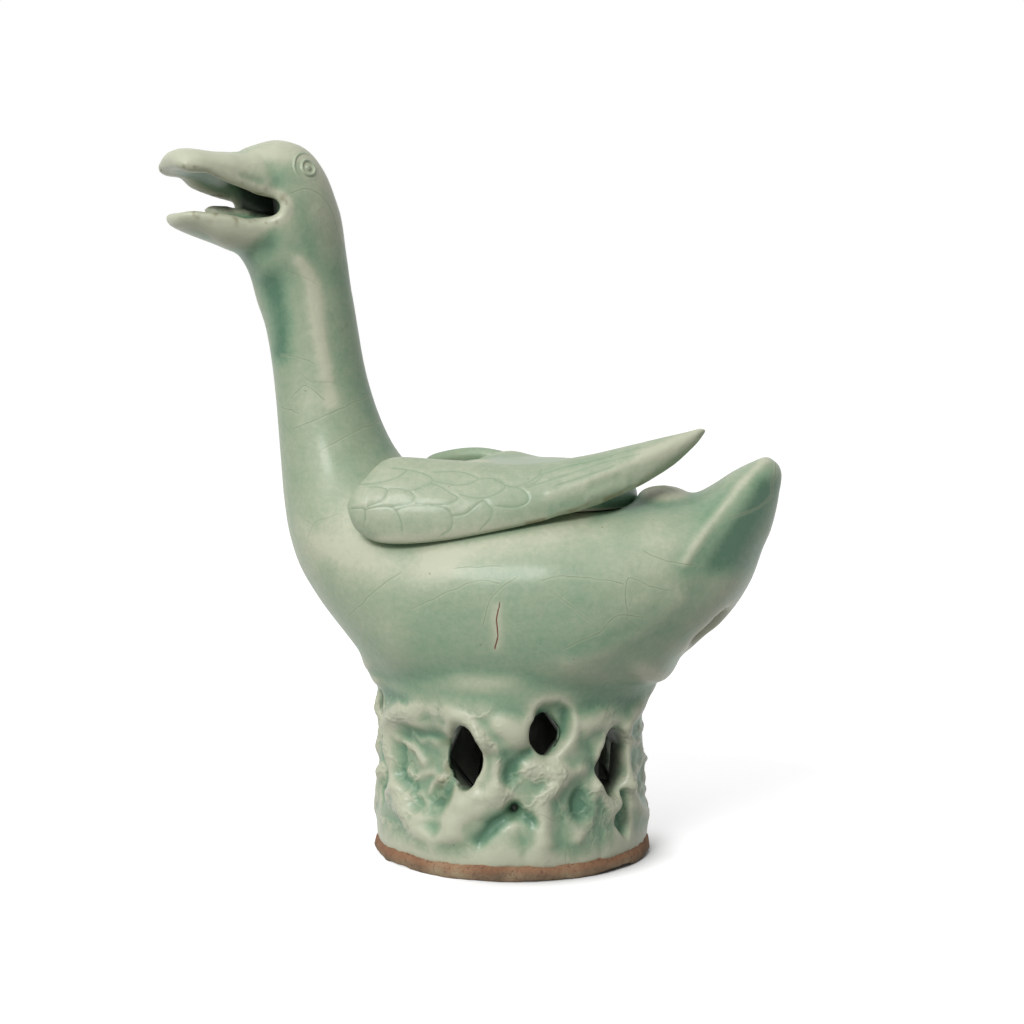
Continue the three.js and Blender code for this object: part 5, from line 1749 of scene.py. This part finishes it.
def bare_clay(name):
    """Sandy patches, burnt where the mesh is singed, with dark pits."""
    material, n = new_material(name)
    place = n.place()
    patches = n.noise(place, 90, 5, 0.65)
    grain = n.noise(place, 900, 3, 0.6)
    colour = n.ramp(patches, SANDS)
    colour = n.mix(n.times(n.kept("singed"), 0.4), colour, BURNT)
    colour = n.mix(n.line(grain, 0.32, 0.42, 0.6), colour, PIT)
    matt = n.add("ShaderNodeBsdfPrincipled", {
        "Base Color": colour, "Roughness": 0.85, "Normal": n.bump(0.5, 0.0006, grain)})
    n.surface(matt.outputs["BSDF"])
    return material


clay = bare_clay("burnt_clay")

# %% [markdown]
# Each finished piece gets its material, rides on the body of the frame that carries it, and hides
# the plain solids it stands for. The lid's pieces ride on the cover, so they lift with it.

# %% Place the pieces on the frame
CENSER_NODES = [
    "rock_pedestal", "rump", "belly_left", "belly_right", "breast", "tail", "rear_lug", "neck",
    "head", "upper_bill", "lower_bill", "tongue"]
placed = [
    (skin, glaze, "censer", "glaze", CENSER_NODES),
    (foot, clay, "censer", "bare_clay", ["foot_ring"]),
    (eyes[0], glaze, "censer", "glaze", ["left_eye_ring", "left_pupil"]),
    (eyes[1], glaze, "censer", "glaze", ["right_eye_ring", "right_pupil"]),
    (back, wing_glaze, "cover", "wing_glaze", ["cover_back"]),
    (wings[0], wing_glaze, "cover", "wing_glaze", ["left_wing"]),
    (wings[1], wing_glaze, "cover", "wing_glaze", ["right_wing"]),
    (flange, clay, "cover", "bare_clay", ["cover_flange"]),
]
for piece, material, body, slot, nodes in placed:
    piece.data.shade_smooth()
    piece.data.materials.clear()
    piece.data.materials.append(material)
    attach(piece, body)
    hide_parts(*nodes)
print("placed", len(placed), "pieces")

# %% [markdown]
# ## Floor, background and light
# The photograph has a white ground that only shows the object's own soft shadow. The floor is
# white to the camera, and plain grey in its light, so it doesn't wash the glaze out from below.
# Where the foot keeps the light off, on its right and in front, the floor glows less.

# %% Stage
FLOOR_HALF = 3000
FLOOR_GLOW = 0.74
FLOOR_GREY = 0.62
FLOOR_TO_OTHERS = 0.42
SHADOW_REACH = 0.02
SHADOW_WAY = (0.8, -0.6, 0)
ROOM_LIGHT = 0.22


def seen_rays(n):
    """1 for the rays that see the background, camera, glossy and transmission rays, else 0."""
    path = n.add("ShaderNodeLightPath").outputs
    mirrored = n.maths("MAXIMUM", path["Is Glossy Ray"], path["Is Transmission Ray"])
    return n.maths("MAXIMUM", path["Is Camera Ray"], mirrored)


def white_ground(name):
    """To the camera a matt floor with light of its own, so that full light gives white and only
    the shadow is grey. The glow falls near the foot, by ambient occlusion times a share that
    grows in the shadow's direction. To all other rays a plain grey floor."""
    material, n = new_material(name)
    seen = seen_rays(n)
    open_sky = n.add("ShaderNodeAmbientOcclusion", {"Distance": SHADOW_REACH}).outputs["AO"]
    from_axis = n.add("ShaderNodeVectorMath", {
        0: n.place(), 1: (AXIS_X, 0, 0)}, operation="SUBTRACT").outputs["Vector"]
    towards = n.add("ShaderNodeVectorMath", {
        0: from_axis, 1: SHADOW_WAY}, operation="DOT_PRODUCT").outputs["Value"]
    shaded = n.times(n.line(open_sky, 0.4, 0.95, FLOOR_GLOW), n.soft(towards, 0.005, 0.04, 0.1))
    to_camera = n.add("ShaderNodeBsdfPrincipled", {
        "Base Color": (FLOOR_GREY, FLOOR_GREY, FLOOR_GREY, 1), "Roughness": 1.0,
        "Specular IOR Level": 0.0, "Emission Color": (1, 1, 1, 1),
        "Emission Strength": n.maths("SUBTRACT", FLOOR_GLOW, shaded)})
    to_others = n.add("ShaderNodeBsdfDiffuse", {
        "Color": (FLOOR_TO_OTHERS, FLOOR_TO_OTHERS, FLOOR_TO_OTHERS, 1)})
    mixed = n.add("ShaderNodeMixShader", {
        0: seen, 1: to_others.outputs["BSDF"], 2: to_camera.outputs["BSDF"]})
    n.surface(mixed.outputs["Shader"])
    return material


floor = add_piece("floor", np.array([
    (-FLOOR_HALF, -FLOOR_HALF, 0.0), (FLOOR_HALF, -FLOOR_HALF, 0.0),
    (FLOOR_HALF, FLOOR_HALF, 0.0), (-FLOOR_HALF, FLOOR_HALF, 0.0)]), [(0, 1, 2, 3)])
floor.data.materials.append(white_ground("white_ground"))

world = bpy.data.worlds.new("studio")
bpy.context.scene.world = world
world.use_nodes = True
n = Nodes(world.node_tree)
strength = n.maths("ADD", ROOM_LIGHT, n.times(seen_rays(n), 1 - ROOM_LIGHT))
sky = n.add("ShaderNodeBackground", {"Color": (1, 1, 1, 1), "Strength": strength})
n.surface(sky.outputs["Background"], "World")
print("floor and room light set")

# %% [markdown]
# A broad sun from the left front is the key light. A window stands further left, a soft lamp hangs
# above, and a faint strip lights the right.

# %% Lamps
BIRD_MIDDLE = 0.11
# name, kind, azimuth, elevation, distance, energy, width and height
LAMPS = [
    ("key", "SUN", -14, 36, 2.0, 1.72, None),
    ("window", "AREA", -38, 36, 1.0, 2.1, (0.5, 0.9)),
    ("above", "AREA", -25, 76, 1.0, 2.1, (0.7, 0.7)),
    ("strip", "AREA", 62, 26, 1.1, 0.15, (0.16, 0.8)),
]
SUN_ANGLE = math.radians(20)


def turned_lamp(name, kind, azimuth, elevation, distance, energy, size):
    """A lamp at a direction round the bird's middle that shines at it."""
    data = bpy.data.lights.new(name, kind)
    lamp = bpy.data.objects.new(name, data)
    a, e = math.radians(azimuth), math.radians(elevation)
    away = np.array([math.sin(a) * math.cos(e), -math.cos(a) * math.cos(e), math.sin(e)])
    lamp.location = away * distance + np.array([0, 0, BIRD_MIDDLE])
    lamp.rotation_euler = (math.pi / 2 - e, 0, a)
    bpy.context.scene.collection.objects.link(lamp)
    data.energy = energy
    if size:
        data.shape = "RECTANGLE"
        data.size, data.size_y = size
    else:
        data.angle = SUN_ANGLE


for lamp in LAMPS:
    turned_lamp(*lamp)
bpy.context.scene.view_settings.view_transform = "Standard"
print("lamps:", [lamp[0] for lamp in LAMPS])
